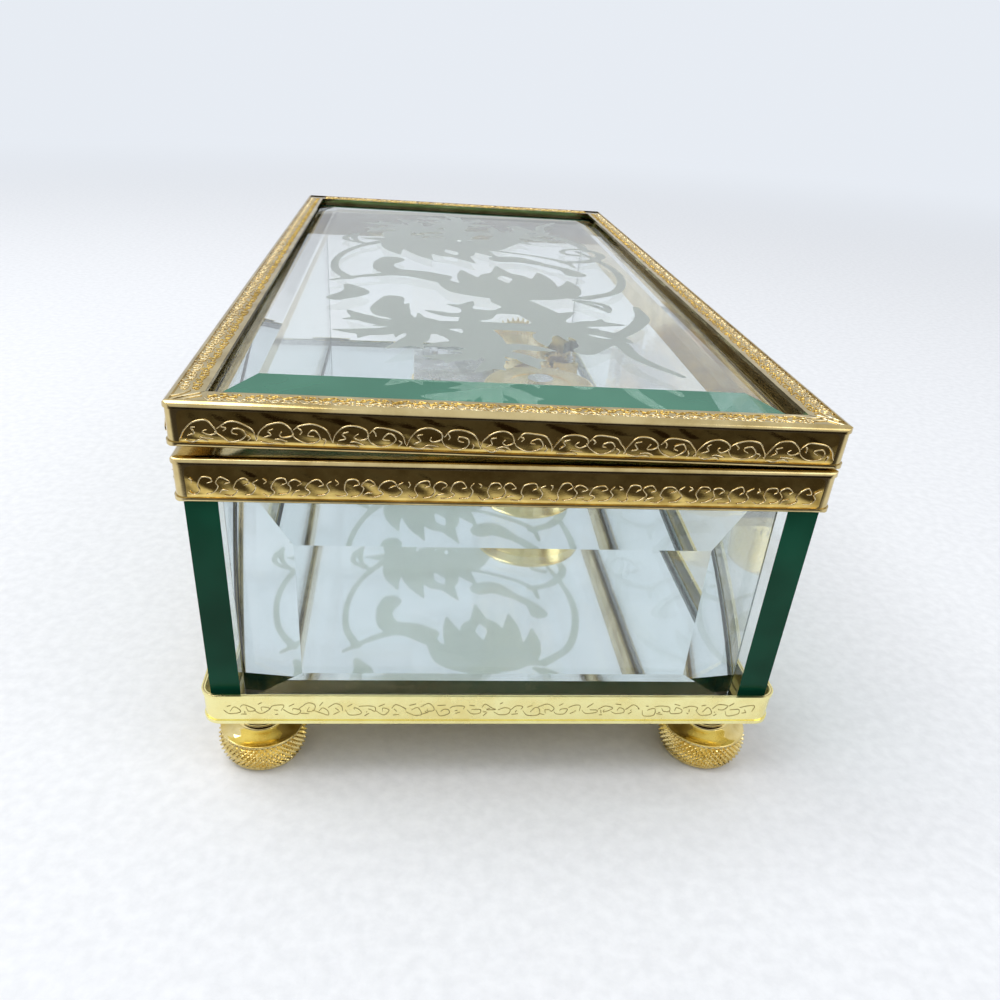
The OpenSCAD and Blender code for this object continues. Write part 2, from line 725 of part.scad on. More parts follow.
module winding_arbor() {
    color(steel) translate([barrel_x, barrel_y, 0]) {
        rod_z(0, 0, key_boss_z + 1.2, arbor_r, cup_top + works_gap + 0.1 - key_boss_z - 1.2);
        // head over the barrel
        rod_z(0, 0, cup_top + works_gap, arbor_head_r, arbor_head_t);
    }
}

// Two-lobed winding key, short enough to turn above the table
module winding_key() {
    color(brass) translate([barrel_x, barrel_y, 0]) difference() {
        union() {
            rod_z(0, 0, key_boss_z, key_boss_r, key_boss_h);
            translate([0, key_t / 2, key_floor_gap + key_lobe_r]) rotate([90, 0, 0]) linear_extrude(key_t)
                difference() {
                    union() {
                        for (s = [-1, 1]) translate([s * key_lobe_x, 0]) circle(key_lobe_r);
                        translate([-key_lobe_x, -1.6]) square([2 * key_lobe_x, 3.8]);
                    }
                    for (s = [-1, 1]) translate([s * key_lobe_x, 0]) circle(1.3);
                }
        }
        rod_z(0, 0, key_boss_z + 1.2, arbor_r + 0.01, key_boss_h);
    }
}

// Crown-toothed great wheel that closes the barrel's foot
module great_wheel() {
    color(brass) translate([barrel_x, barrel_y, 0]) difference() {
        union() {
            rod_z(0, 0, great_z, 5, great_hub_h + 0.1);
            rod_z(0, 0, great_disc_z, great_outer_r, great_disc_t);
            translate([0, 0, cup_z - 0.1]) linear_extrude(great_tooth_h + 0.1) rotate(180)
                difference() {
                    gear_outline(great_teeth, great_inner_r + 0.1, great_outer_r - great_inner_r - 0.2, 0.1, 0.4);
                    circle(barrel_r + 0.15);
                }
        }
        rod_z(0, 0, great_z - 1, arbor_r + run_clear, 5);
    }
}

// Spun cup of the spring barrel, open side down on the great wheel
module barrel_cup() {
    h = cup_top - cup_z;
    inside_r = barrel_r - cup_t;
    color(brass) translate([barrel_x, barrel_y, cup_z]) difference() {
        rotate_extrude($fn = 96) {
            square([barrel_r, h - cup_round]);
            square([barrel_r - cup_round, h]);
            translate([barrel_r - cup_round, h - cup_round]) circle(cup_round, $fn = 32);
        }
        translate([0, 0, -1]) cylinder(r = inside_r, h = h + 1 - cup_t, $fn = 96);
        cylinder(r = arbor_r + run_clear, h = h + 1);
        // shallow turned ring on the top
        translate([0, 0, h - 0.2]) difference() {
            cylinder(r = barrel_r * 0.55, h = 1);
            translate([0, 0, -1]) cylinder(r = barrel_r * 0.46, h = 3);
        }
    }
}

// Spiral mainspring between arbor and barrel wall
module mainspring() {
    turns = 8;
    steps = 20;
    r0 = arbor_r + 0.3;
    band = 0.3;
    r1 = barrel_r - cup_t - band - 0.05;
    n = turns * steps;
    function at(i, off) = let (r = r0 + (r1 - r0) * i / n + off, a = 360 * i / steps) [r * cos(a), r * sin(a)];
    color(steel) translate([barrel_x, barrel_y, cup_z + 0.2]) linear_extrude(cup_top - cup_z - cup_t - 0.4)
        polygon(concat([for (i = [0 : n]) at(i, 0)], [for (i = [n : -1 : 0]) at(i, band)]));
}

// ---- Movement: cylinder and governor train ----

// Angle of each pin on its comb track, spread like a short tune
function pin_angle(track, k) = 360 / pins_per_track * k + 47 * track + 23 * (track % 5) * k;

module pin_cylinder() {
    color(brass) {
        difference() {
            rod_x(cylinder_x, barrel_y, cylinder_z, cylinder_r, cylinder_l);
            rod_x(cylinder_x - 1, barrel_y, cylinder_z, pivot_r + 0.01, cylinder_l + 2);
        }
        for (t = [0 : comb_teeth - 1], k = [0 : pins_per_track - 1])
            translate([cylinder_x + 0.7 + t * comb_pitch, barrel_y, cylinder_z])
                rotate([pin_angle(t, k), 0, 0])
                    translate([-pin_w / 2, -pin_w / 2, cylinder_r - 0.1]) cube([pin_w, pin_w, pin_len + 0.1]);
    }
}

module cylinder_arbor() {
    x0 = frame_x - 0.3;
    color(steel) rod_x(x0, barrel_y, cylinder_z, pivot_r, pinion_x + pinion_t - x0);
}

module cylinder_pinion() {
    color(steel) facing_x(pinion_x + 0.02, barrel_y, cylinder_z) linear_extrude(pinion_t) difference() {
        // a gap stands at the bottom, over a tooth of the great wheel
        rotate(-90 + 180 / cylinder_pinion_teeth)
            gear_outline(cylinder_pinion_teeth, cylinder_pinion_r, 0.4, 0.55);
        circle(pivot_r + 0.01);
    }
}

module cylinder_wheel() {
    color(brass) facing_x(cylinder_wheel_x, barrel_y, cylinder_z) linear_extrude(wheel_t) difference() {
        // a tooth points at the second arbor
        rotate(180 + second_drop)
            gear_outline(cylinder_wheel_teeth, cylinder_wheel_r, 0.32, 0.45, 0.4);
        circle(pivot_r + 0.01);
    }
}

module second_arbor() {
    color(steel) rod_x(frame_x + 0.1, second_y, second_z, fine_pivot_r, stay_x + frame_t - frame_x - 0.2);
}

module second_pinion() {
    color(steel) facing_x(cylinder_wheel_x, second_y, second_z) linear_extrude(wheel_t) difference() {
        rotate(second_drop + 180 / second_pinion_teeth)
            gear_outline(second_pinion_teeth, second_pinion_r, 0.32, 0.45, 0.4);
        circle(fine_pivot_r + 0.01);
    }
}

module worm_wheel() {
    color(brass) facing_x(worm_x - 0.4, second_y, second_z) linear_extrude(0.8) difference() {
        rotate(180) gear_outline(worm_wheel_teeth, worm_wheel_r, worm_wheel_tip, 0.35, 0.4);
        circle(fine_pivot_r + 0.01);
    }
}

// Governor shaft with its worm; the worm's low side faces the wheel at mesh height
module governor_shaft() {
    worm_l = worm_turns * worm_lead;
    low_z = bed_top + frame_foot_h - fine_pivot_depth + 0.1;
    color(steel) translate([worm_x, worm_y, 0]) {
        rod_z(0, 0, low_z, fine_pivot_r, frame_arm_z + frame_t - 0.1 - low_z);
        translate([0, 0, second_z - worm_l / 2]) rotate([0, 0, -90 - 360 * worm_turns / 2])
            linear_extrude(worm_l, twist = -360 * worm_turns, slices = worm_turns * 8)
                translate([worm_throw, 0]) circle(worm_core_r, $fn = 10);
    }
}

module governor_fan() {
    color([0.2, 0.2, 0.2]) translate([worm_x, worm_y, fan_z]) difference() {
        union() {
            cylinder(r = fan_hub_r, h = fan_h);
            rotate([0, 0, 40]) translate([-fan_r, -fan_t / 2, 0]) cube([2 * fan_r, fan_t, fan_h]);
        }
        translate([0, 0, -1]) cylinder(r = fine_pivot_r + 0.01, h = 5);
    }
}

tray_strip();
base_plate();
packing_card();
floor_mirror();
front_glass();
rear_glass();
left_glass();
right_glass();
wall_frame();
foot_front_left();
foot_front_right();
foot_rear_left();
foot_rear_right();
foot_screws();
lid_frame();
lid_glass();
case_hinge_leaves();
lid_hinge_leaves();
hinge_pins();
works_seat() bedplate();
works_seat() works_screws();
works_seat() comb();
works_seat() comb_screws();
works_seat() cylinder_bracket();
works_seat() governor_frame();
works_seat() bracket_screws();
works_seat() winding_arbor();
works_seat() winding_key();
works_seat() great_wheel();
works_seat() barrel_cup();
works_seat() mainspring();
works_seat() pin_cylinder();
works_seat() cylinder_arbor();
works_seat() cylinder_pinion();
works_seat() cylinder_wheel();
works_seat() second_arbor();
works_seat() second_pinion();
works_seat() worm_wheel();
works_seat() governor_shaft();
works_seat() governor_fan();
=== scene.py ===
import bpy
import math
import random
import numpy as np
from mathutils import Matrix, Vector


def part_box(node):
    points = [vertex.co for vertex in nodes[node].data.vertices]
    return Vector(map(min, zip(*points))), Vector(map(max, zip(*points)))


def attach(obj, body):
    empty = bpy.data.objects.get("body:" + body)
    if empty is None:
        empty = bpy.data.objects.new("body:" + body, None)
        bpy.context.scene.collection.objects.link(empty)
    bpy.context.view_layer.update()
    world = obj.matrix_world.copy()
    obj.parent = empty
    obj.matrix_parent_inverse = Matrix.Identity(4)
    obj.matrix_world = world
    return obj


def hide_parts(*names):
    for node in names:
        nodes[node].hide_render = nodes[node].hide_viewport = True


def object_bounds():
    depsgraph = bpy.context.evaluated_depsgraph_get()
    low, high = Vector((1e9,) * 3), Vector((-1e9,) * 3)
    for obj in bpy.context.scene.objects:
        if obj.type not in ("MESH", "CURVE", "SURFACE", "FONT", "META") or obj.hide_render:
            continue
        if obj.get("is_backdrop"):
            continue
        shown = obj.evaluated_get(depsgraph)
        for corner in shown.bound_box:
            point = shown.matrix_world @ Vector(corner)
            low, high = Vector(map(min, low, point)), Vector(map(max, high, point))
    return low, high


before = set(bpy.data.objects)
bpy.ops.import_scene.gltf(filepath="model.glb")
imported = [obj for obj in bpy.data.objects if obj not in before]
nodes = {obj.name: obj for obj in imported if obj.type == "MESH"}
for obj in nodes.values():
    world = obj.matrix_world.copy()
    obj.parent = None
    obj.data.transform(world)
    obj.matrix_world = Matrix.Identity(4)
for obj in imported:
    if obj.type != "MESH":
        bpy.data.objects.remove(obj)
cad_lo, cad_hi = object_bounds()
MM = 0.001
rng = random.Random(11)

# ---------------------------------------------------------------- sizes, mm
LID_W, LID_L, LID_H = 80.0, 160.0, 5.35
RIM_W, RIM_L, RIM_H, RIM_Z = 79.9, 159.9, 5.6, 44.4
TRAY_W, TRAY_L, TRAY_H, TRAY_Z = 80.6, 160.6, 4.8, 10.5
FIELD, BORDER, ROLL = 0.2, 0.5, 0.9   # depth of a sunk field, plain border, radius of the rolled edge
GLASS_T, GLASS_LIFT = 4.0, 0.5        # lid glass, and its height above the lid frame's lower edge
LID_Z, HINGE_X, HINGE_Z = 51.4, -39.6, 50.6
TILT = math.asin(1.1 / 79.6)          # the hinge side stands 1.1 mm higher than the opening side
FOOT_X, FOOT_Y = 33.5, 73.5
# puts what is drawn level onto the tilted lid
seat = (Matrix.Translation((HINGE_X, 0, HINGE_Z)) @ Matrix.Rotation(TILT, 4, "Y")
        @ Matrix.Translation((-HINGE_X, 0, -HINGE_Z)))


# ---------------------------------------------------------------- materials
def new_mat(name):
    """A material with a Principled shader on its output."""
    m = bpy.data.materials.new(name)
    m.use_nodes = True
    nt = m.node_tree
    nt.nodes.clear()
    out = nt.nodes.new("ShaderNodeOutputMaterial")
    b = nt.nodes.new("ShaderNodeBsdfPrincipled")
    nt.links.new(b.outputs[0], out.inputs["Surface"])
    return m, nt, b, out


def noise(nt, scale, detail=4.0, rough=0.55, stretch=None):
    """Noise in the object's own coordinates, stretched when asked."""
    tc = nt.nodes.new("ShaderNodeTexCoord")
    n = nt.nodes.new("ShaderNodeTexNoise")
    n.inputs["Scale"].default_value = scale
    n.inputs["Detail"].default_value = detail
    n.inputs["Roughness"].default_value = rough
    if stretch:
        mp = nt.nodes.new("ShaderNodeMapping")
        mp.inputs["Scale"].default_value = stretch
        nt.links.new(tc.outputs["Object"], mp.inputs["Vector"])
        nt.links.new(mp.outputs[0], n.inputs["Vector"])
    else:
        nt.links.new(tc.outputs["Object"], n.inputs["Vector"])
    return n


def ramp(nt, src, stops):
    """Colour ramp from (position, colour) stops."""
    r = nt.nodes.new("ShaderNodeValToRGB")
    e = r.color_ramp.elements
    e[0].position, e[0].color = stops[0][0], (*stops[0][1], 1)
    e[1].position, e[1].color = stops[-1][0], (*stops[-1][1], 1)
    for p, c in stops[1:-1]:
        e.new(p).color = (*c, 1)
    nt.links.new(src, r.inputs[0])
    return r


def spread(nt, src, lo, hi):
    """Maps the middle range of a noise onto lo to hi."""
    mr = nt.nodes.new("ShaderNodeMapRange")
    mr.inputs["From Min"].default_value = 0.3
    mr.inputs["From Max"].default_value = 0.7
    mr.inputs["To Min"].default_value = lo
    mr.inputs["To Max"].default_value = hi
    nt.links.new(src, mr.inputs["Value"])
    return mr.outputs[0]


def bump(nt, b, src, strength, dist):
    bp = nt.nodes.new("ShaderNodeBump")
    bp.inputs["Strength"].default_value = strength
    bp.inputs["Distance"].default_value = dist
    nt.links.new(src, bp.inputs["Height"])
    nt.links.new(bp.outputs[0], b.inputs["Normal"])


def metal(name, dark, light, rough, var=0.08, scale=260, grain=5000, bstr=0.12, bdist=0.00003,
          stretch=None):
    """Metal between two colours; duller by var where the noise is dark, with a fine grain."""
    m, nt, b, out = new_mat(name)
    n = noise(nt, scale, 5)
    r = ramp(nt, n.outputs["Fac"], [(0.3, dark), (0.62, light)])
    nt.links.new(r.outputs[0], b.inputs["Base Color"])
    b.inputs["Metallic"].default_value = 1.0
    nt.links.new(spread(nt, n.outputs["Fac"], rough + var, rough), b.inputs["Roughness"])
    g = noise(nt, grain, 3, stretch=stretch)
    bump(nt, b, g.outputs["Fac"], bstr, bdist)
    return m


def dull(name, dark, light, rough, scale=900):
    """Matt surface between two colours."""
    m, nt, b, out = new_mat(name)
    n = noise(nt, scale, 6)
    r = ramp(nt, n.outputs["Fac"], [(0.35, dark), (0.65, light)])
    nt.links.new(r.outputs[0], b.inputs["Base Color"])
    b.inputs["Roughness"].default_value = rough
    bump(nt, b, n.outputs["Fac"], 0.3, 0.0001)
    return m


def math_node(nt, op, a, b=None):
    """Result of a maths node on sockets or numbers."""
    m = nt.nodes.new("ShaderNodeMath")
    m.operation = op
    for k, v in ((0, a), (1, b)):
        if v is None:
            continue
        if isinstance(v, (int, float)):
            m.inputs[k].default_value = v
        else:
            nt.links.new(v, m.inputs[k])
    return m.outputs[0]


def facing(nt, axis, lo, hi):
    """1 on faces whose normal, in the part's own frame, has an |axis| share between lo and hi."""
    tc = nt.nodes.new("ShaderNodeTexCoord")
    sp = nt.nodes.new("ShaderNodeSeparateXYZ")
    nt.links.new(tc.outputs["Normal"], sp.inputs[0])
    a = math_node(nt, "ABSOLUTE", sp.outputs[axis])
    above, below = math_node(nt, "GREATER_THAN", a, lo), math_node(nt, "LESS_THAN", a, hi)
    return math_node(nt, "MULTIPLY", above, below)


def painted_glass_light(nt, dark, light, rough):
    """Painted deep colour for glass edges and bevels, standing in for light that has run a long way inside
    the glass.
    """
    e = nt.nodes.new("ShaderNodeBsdfPrincipled")
    n = noise(nt, 45, 3)
    r = ramp(nt, n.outputs["Fac"], [(0.35, dark), (0.68, light)])
    nt.links.new(r.outputs[0], e.inputs["Base Color"])
    e.inputs["Roughness"].default_value = rough
    e.inputs["Specular IOR Level"].default_value = 0.12
    return e.outputs[0]


def mix_shader(nt, share, a, b):
    """Shader a where share is 0 and b where it is 1."""
    mx = nt.nodes.new("ShaderNodeMixShader")
    if isinstance(share, float):
        mx.inputs[0].default_value = share
    else:
        nt.links.new(share, mx.inputs[0])
    nt.links.new(a, mx.inputs[1])
    nt.links.new(b, mx.inputs[2])
    return mx.outputs[0]


def glass(name, faces):
    """Clear glass; faces lists (axis, lo, hi, share, dark, light) for the faces painted with the deep colour
    of light run through the glass.
    """
    m, nt, b, out = new_mat(name)
    b.inputs["Base Color"].default_value = (1, 1, 1, 1)
    b.inputs["Roughness"].default_value = 0.0
    b.inputs["IOR"].default_value = 1.52
    b.inputs["Transmission Weight"].default_value = 1.0
    n = noise(nt, 60, 2)
    bump(nt, b, n.outputs["Fac"], 0.02, 0.00005)
    lp = nt.nodes.new("ShaderNodeLightPath")
    tr = nt.nodes.new("ShaderNodeBsdfTransparent")
    tr.inputs["Color"].default_value = (*GLASS_SHADE, 1)
    last = mix_shader(nt, lp.outputs["Is Shadow Ray"], b.outputs[0], tr.outputs[0])
    for axis, lo, hi, share, dark, light in faces:
        part = math_node(nt, "MULTIPLY", facing(nt, axis, lo, hi), share)
        last = mix_shader(nt, part, last, painted_glass_light(nt, dark, light, 0.14))
    nt.links.new(last, out.inputs["Surface"])
    va = nt.nodes.new("ShaderNodeVolumeAbsorption")
    va.inputs["Color"].default_value = (*GLASS_ABSORB, 1)
    va.inputs["Density"].default_value = GLASS_DENSITY
    nt.links.new(va.outputs[0], out.inputs["Volume"])
    return m


GILT = metal("gilt_strip", (0.46, 0.34, 0.13), (0.72, 0.58, 0.29), 0.09, var=0.06, scale=180)
FIELD_GILT = metal("gilt_field", (0.52, 0.35, 0.09), (0.84, 0.62, 0.20), 0.07, var=0.05, scale=380)
# raised lines in a lighter gold than their strip: painted highlight along the relief
BEAD_HIGHLIGHT = metal("gilt_bead_painted_highlight", (0.72, 0.56, 0.28), (0.97, 0.84, 0.54), 0.08, var=0.05, scale=700)
PALE = metal("pale_strip", (0.92, 0.79, 0.33), (1.0, 0.93, 0.46), 0.22, scale=200)
# raised tray lines in dark brown: painted shadow along the low relief
TRAY_LINE_SHADE = metal("pale_bead_painted_shade", (0.26, 0.20, 0.07), (0.46, 0.37, 0.15), 0.34, scale=700)
TURNED = metal("turned_brass", (0.72, 0.53, 0.16), (0.92, 0.76, 0.36), 0.06, var=0.05, scale=300,
               grain=2200, bstr=0.05, stretch=(0.2, 0.2, 3.0))
SHEET = metal("sheet_brass", (0.58, 0.47, 0.24), (0.74, 0.63, 0.37), 0.30)
WORKS = metal("works_brass", (0.74, 0.56, 0.22), (0.94, 0.78, 0.42), 0.16, scale=220)
STEEL = metal("works_steel", (0.48, 0.49, 0.51), (0.72, 0.73, 0.75), 0.24, grain=3500, stretch=(1, 6, 1))
FAN = dull("fan", (0.03, 0.03, 0.035), (0.07, 0.07, 0.075), 0.5)
CARD = dull("card", (0.08, 0.075, 0.07), (0.14, 0.13, 0.12), 0.85)
GLASS_ABSORB, GLASS_DENSITY, GLASS_SHADE = (0.20, 0.80, 0.68), 9.0, (0.93, 0.97, 0.955)
# colours of glass edges and bevels, dark and light: the glass's own green seen along its length, with
# painted light that runs inside the glass and reflects off the bevels
EMERALD = ((0.003, 0.038, 0.018), (0.008, 0.090, 0.048))
TEAL = ((0.055, 0.200, 0.130), (0.090, 0.280, 0.190))
BOTTLE = ((0.003, 0.022, 0.015), (0.008, 0.055, 0.038))
SIDE_GLASS = glass("side_glass", [(1, 0.9, 1.1, 1.0, *EMERALD)])
END_GLASS = glass("end_glass", [(0, 0.9, 1.1, 1.0, *EMERALD)])
LID_GLASS = glass("lid_glass", [(1, 0.05, 0.6, 0.72, *TEAL), (1, 0.6, 1.1, 1.0, *EMERALD)])
FLOOR_GLASS = glass("floor_glass", [(1, 0.9, 1.1, 1.0, *BOTTLE), (0, 0.9, 1.1, 1.0, *BOTTLE)])


def mirror_mat():
    """Silvering behind the floor mirror, with faint wear."""
    m, nt, b, out = new_mat("silvering")
    n = noise(nt, 90, 4)
    r = ramp(nt, n.outputs["Fac"], [(0.3, (0.80, 0.84, 0.86)), (0.7, (0.86, 0.89, 0.91))])
    nt.links.new(r.outputs[0], b.inputs["Base Color"])
    b.inputs["Metallic"].default_value = 1.0
    s = noise(nt, 2600, 6, 0.7)
    nt.links.new(spread(nt, s.outputs["Fac"], 0.015, 0.035), b.inputs["Roughness"])
    return m


def frost_mat():
    """Etched frost: light partly scatters through it."""
    m, nt, b, out = new_mat("lid_frost")
    n = noise(nt, 1500, 5)
    r = ramp(nt, n.outputs["Fac"], [(0.3, (0.37, 0.39, 0.37)), (0.7, (0.45, 0.47, 0.45))])
    nt.links.new(r.outputs[0], b.inputs["Base Color"])
    b.inputs["Roughness"].default_value = 0.6
    bump(nt, b, n.outputs["Fac"], 0.15, 0.00004)
    t = nt.nodes.new("ShaderNodeBsdfTranslucent")
    t.inputs["Color"].default_value = (0.87, 0.89, 0.86, 1)
    nt.links.new(mix_shader(nt, 0.75, b.outputs[0], t.outputs[0]), out.inputs["Surface"])
    return m


MIRROR, FROST = mirror_mat(), frost_mat()
dress = {
    "lid_frame": GILT, "wall_frame": GILT, "tray_strip": PALE, "base_plate": SHEET, "packing_card": CARD,
    "floor_mirror": FLOOR_GLASS, "case_hinge_leaves": SHEET, "lid_hinge_leaves": SHEET, "governor_fan": FAN,
    "lid_glass": LID_GLASS,
}
dress["front_glass"] = dress["rear_glass"] = END_GLASS
dress["left_glass"] = dress["right_glass"] = SIDE_GLASS
for n in ("bedplate", "cylinder_bracket", "governor_frame", "winding_key", "great_wheel", "barrel_cup",
          "pin_cylinder", "cylinder_wheel", "worm_wheel"):
    dress[n] = WORKS
for n, o in nodes.items():
    o.data.materials.clear()
    o.data.materials.append(dress.get(n, STEEL))


# ---------------------------------------------------------------- mesh helpers
def make(name, verts, faces, mat, body, slot, smooth=True, xf=None):
    me = bpy.data.meshes.new(name)
    if xf is not None:
        verts = [tuple(xf @ Vector(v)) for v in verts]
    me.from_pydata([tuple(c * MM for c in v) for v in verts], [], faces)
    me.materials.append(mat)
    for p in me.polygons:
        p.use_smooth = smooth
    me.update()
    ob = bpy.data.objects.new(name, me)
    bpy.context.scene.collection.objects.link(ob)
    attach(ob, body)
    return ob


def spline(pts, per=5):
    """Points on a smooth curve through pts."""
    p = [np.array(q, float) for q in pts]
    p = [2 * p[0] - p[1]] + p + [2 * p[-1] - p[-2]]
    out = []
    for i in range(1, len(p) - 2):
        for k in range(per):
            t = k / per
            a, b, c, d = p[i - 1:i + 3]
            out.append(0.5 * (2 * b + (c - a) * t + (2 * a - 5 * b + 4 * c - d) * t * t
                              + (3 * b - a - 3 * c + d) * t ** 3))
    out.append(p[-2])
    return out


class Beads:
    """Low raised lines laid on strips, gathered into one mesh."""

    def __init__(self):
        self.v, self.f = [], []

    def line(self, pts, place, half, rise):
        pts = [np.array(p) for p in pts]
        base = len(self.v)
        n = len(pts)
        for i, p in enumerate(pts):
            t = pts[min(i + 1, n - 1)] - pts[max(i - 1, 0)]
            t = t / (np.linalg.norm(t) + 1e-9)
            s = np.array([-t[1], t[0]])
            w = half * (0.45 + 0.55 * math.sin(math.pi * min(1, max(0, (i + 0.6) / (n + 0.2)))) ** 0.5)
            for k, h in ((-1, -0.02), (-0.62, rise * 0.8), (0, rise), (0.62, rise * 0.8), (1, -0.02)):
                q = p + s * w * k
                self.v.append(place(q[0], q[1], h))
        for i in range(n - 1):
            for k in range(5):
                a, b = base + i * 5 + k, base + i * 5 + (k + 1) % 5
                self.f.append((a, a + 5, b + 5, b))
        self.f.append(tuple(base + k for k in range(5)))
        e = base + (n - 1) * 5
        self.f.append(tuple(e + k for k in reversed(range(5))))


ARCH = [  # lid face: arched vine with curls
    [(0.00, 0.16), (0.05, 0.52), (0.17, 0.88), (0.34, 0.95), (0.46, 0.74), (0.47, 0.48), (0.38, 0.36),
     (0.31, 0.47), (0.35, 0.60)],
    [(0.47, 0.52), (0.54, 0.26), (0.66, 0.10), (0.80, 0.20), (0.86, 0.46), (0.80, 0.66), (0.71, 0.62),
     (0.70, 0.46), (0.77, 0.42)],
    [(0.50, 0.66), (0.60, 0.88), (0.74, 0.93), (0.88, 0.82), (0.95, 0.60), (1.00, 0.34), (1.01, 0.16)],
    [(0.05, 0.12), (0.16, 0.05), (0.28, 0.13), (0.37, 0.06)],
    [(0.10, 0.30), (0.18, 0.42), (0.15, 0.60), (0.22, 0.70)],
    [(0.24, 0.22), (0.33, 0.24), (0.43, 0.15)],
    [(0.58, 0.52), (0.60, 0.66), (0.55, 0.76)],
    [(0.90, 0.12), (0.93, 0.28), (0.89, 0.38)],
]
CURLS = [  # wall frame: C and S curls
    [(0.02, 0.20), (0.10, 0.10), (0.18, 0.26), (0.14, 0.52), (0.20, 0.82), (0.31, 0.88), (0.35, 0.70),
     (0.28, 0.62)],
    [(0.24, 0.14), (0.36, 0.22), (0.42, 0.48), (0.38, 0.70), (0.48, 0.86), (0.57, 0.70), (0.50, 0.58)],
    [(0.50, 0.12), (0.60, 0.10), (0.68, 0.28), (0.62, 0.46), (0.68, 0.76), (0.80, 0.86), (0.86, 0.66),
     (0.78, 0.56)],
    [(0.76, 0.14), (0.88, 0.20), (0.94, 0.44), (0.90, 0.64), (0.97, 0.82)],
    [(0.42, 0.16), (0.46, 0.30), (0.54, 0.34)],
    [(0.05, 0.62), (0.08, 0.74), (0.04, 0.84)],
]
FINE = [  # tray: small scroll with leaf ticks
    [(0.02, 0.46), (0.12, 0.22), (0.24, 0.26), (0.27, 0.50), (0.18, 0.58), (0.14, 0.44)],
    [(0.27, 0.60), (0.38, 0.80), (0.50, 0.68), (0.50, 0.46), (0.41, 0.44), (0.40, 0.58)],
    [(0.50, 0.40), (0.60, 0.20), (0.72, 0.26), (0.75, 0.50), (0.67, 0.60), (0.61, 0.46)],
    [(0.76, 0.58), (0.86, 0.78), (0.97, 0.66), (0.99, 0.48)],
    [(0.08, 0.72), (0.16, 0.80)], [(0.30, 0.20), (0.38, 0.28)], [(0.58, 0.76), (0.66, 0.84)],
    [(0.82, 0.24), (0.90, 0.30)], [(0.34, 0.42), (0.35, 0.32)], [(0.86, 0.50), (0.88, 0.40)],
]
TICKS = [  # lid flange: crowded small curls towards the outer edge
    [(0.02, 0.20), (0.10, 0.62), (0.24, 0.78), (0.34, 0.50), (0.24, 0.34), (0.18, 0.50)],
    [(0.34, 0.30), (0.46, 0.16), (0.58, 0.34), (0.56, 0.66), (0.46, 0.72)],
    [(0.58, 0.50), (0.70, 0.80), (0.84, 0.72), (0.86, 0.44), (0.76, 0.36)],
    [(0.80, 0.18), (0.92, 0.24), (0.98, 0.50)], [(0.06, 0.86), (0.16, 0.94)], [(0.40, 0.90), (0.52, 0.88)],
    [(0.66, 0.12), (0.72, 0.24)],
]


def side_runs(w, l):
    """The four outer faces: a start corner, a direction along and an outward direction."""
    return (((-w / 2, -l / 2), (1, 0), (0, -1), w), ((w / 2, -l / 2), (0, 1), (1, 0), l),
            ((w / 2, l / 2), (-1, 0), (0, 1), w), ((-w / 2, l / 2), (0, -1), (-1, 0), l))


def swell(t):
    """Outward swell of an embossed strip, t from its lower to its upper edge, 0 to 1."""
    return float(np.interp(t, (0, 0.04, 0.30, 0.62, 0.97, 1), (0, 0.62, 0.95, 1.0, 0.05, 0)))


class Ripple:
    """Smooth uneven surface, as rolled and bent strip has."""

    def __init__(self, pitch, depth):
        self.p, self.d = pitch, depth
        self.w = [(rng.uniform(0.5, 1.6), rng.uniform(0.4, 1.5), rng.uniform(0, 6.28)) for _ in range(7)]

    def __call__(self, u, v):
        return self.d * sum(math.sin(a * u / self.p + b * v / self.p * 1.3 + c) for a, b, c in self.w) / 3.5


def face_skin(name, w, l, z0, h, bulge, mat, body, slot, margin, step, xf=None):
    """The swollen, slightly uneven ground of the embossing in the sunk fields of the four faces."""
    verts, faces = [], []
    rows = 14
    wave = Ripple(0.58, 0.034)
    for k, ((cx, cy), (ux, uy), (nx, ny), run) in enumerate(side_runs(w, l)):
        n = int((run - 2 * margin) / step)
        base = len(verts)
        for i in range(n + 1):
            u = margin + (run - 2 * margin) * i / n
            end = min(1.0, i / 3, (n - i) / 3)
            for r in range(rows + 1):
                t = r / rows
                calm = min(1, 6 * t, 6 * (1 - t))
                d = -FIELD - 0.01 + (bulge * swell(t) + wave(u + 300 * k, t * h) * calm) * end
                verts.append((cx + ux * u + nx * d, cy + uy * u + ny * d, z0 + t * h))
        for i in range(n):
            for r in range(rows):
                a = base + i * (rows + 1) + r
                faces.append((a, a + rows + 1, a + rows + 2, a + 1))
    return make(name, verts, faces, mat, body, slot, xf=xf)


def face_beads(w, l, z0, h, low, high, motif, period, half, rise, margin=2.0, wobble=0.04, bulge=0.0):
    """Raised lines between the shares low and high of a face of height h that starts at z0."""
    bd = Beads()
    for (cx, cy), (ux, uy), (nx, ny), run in side_runs(w, l):
        free = run - 2 * margin
        count = max(1, round(free / period))
        step = free / count

        def place(u, v, r, cx=cx, cy=cy, ux=ux, uy=uy, nx=nx, ny=ny):
            d = -FIELD + bulge * swell(min(1, max(0, v / h))) + r
            return (cx + ux * u + nx * d, cy + uy * u + ny * d, z0 + v)
        for i in range(count):
            for line in motif:
                j = [(x + rng.uniform(-wobble, wobble) * 0.4, y + rng.uniform(-wobble, wobble))
                     for x, y in line]
                pts = [(margin + (i + x) * step, h * (low + (high - low) * y)) for x, y in spline(j, 4)]
                bd.line(pts, place, half, rise)
    return bd


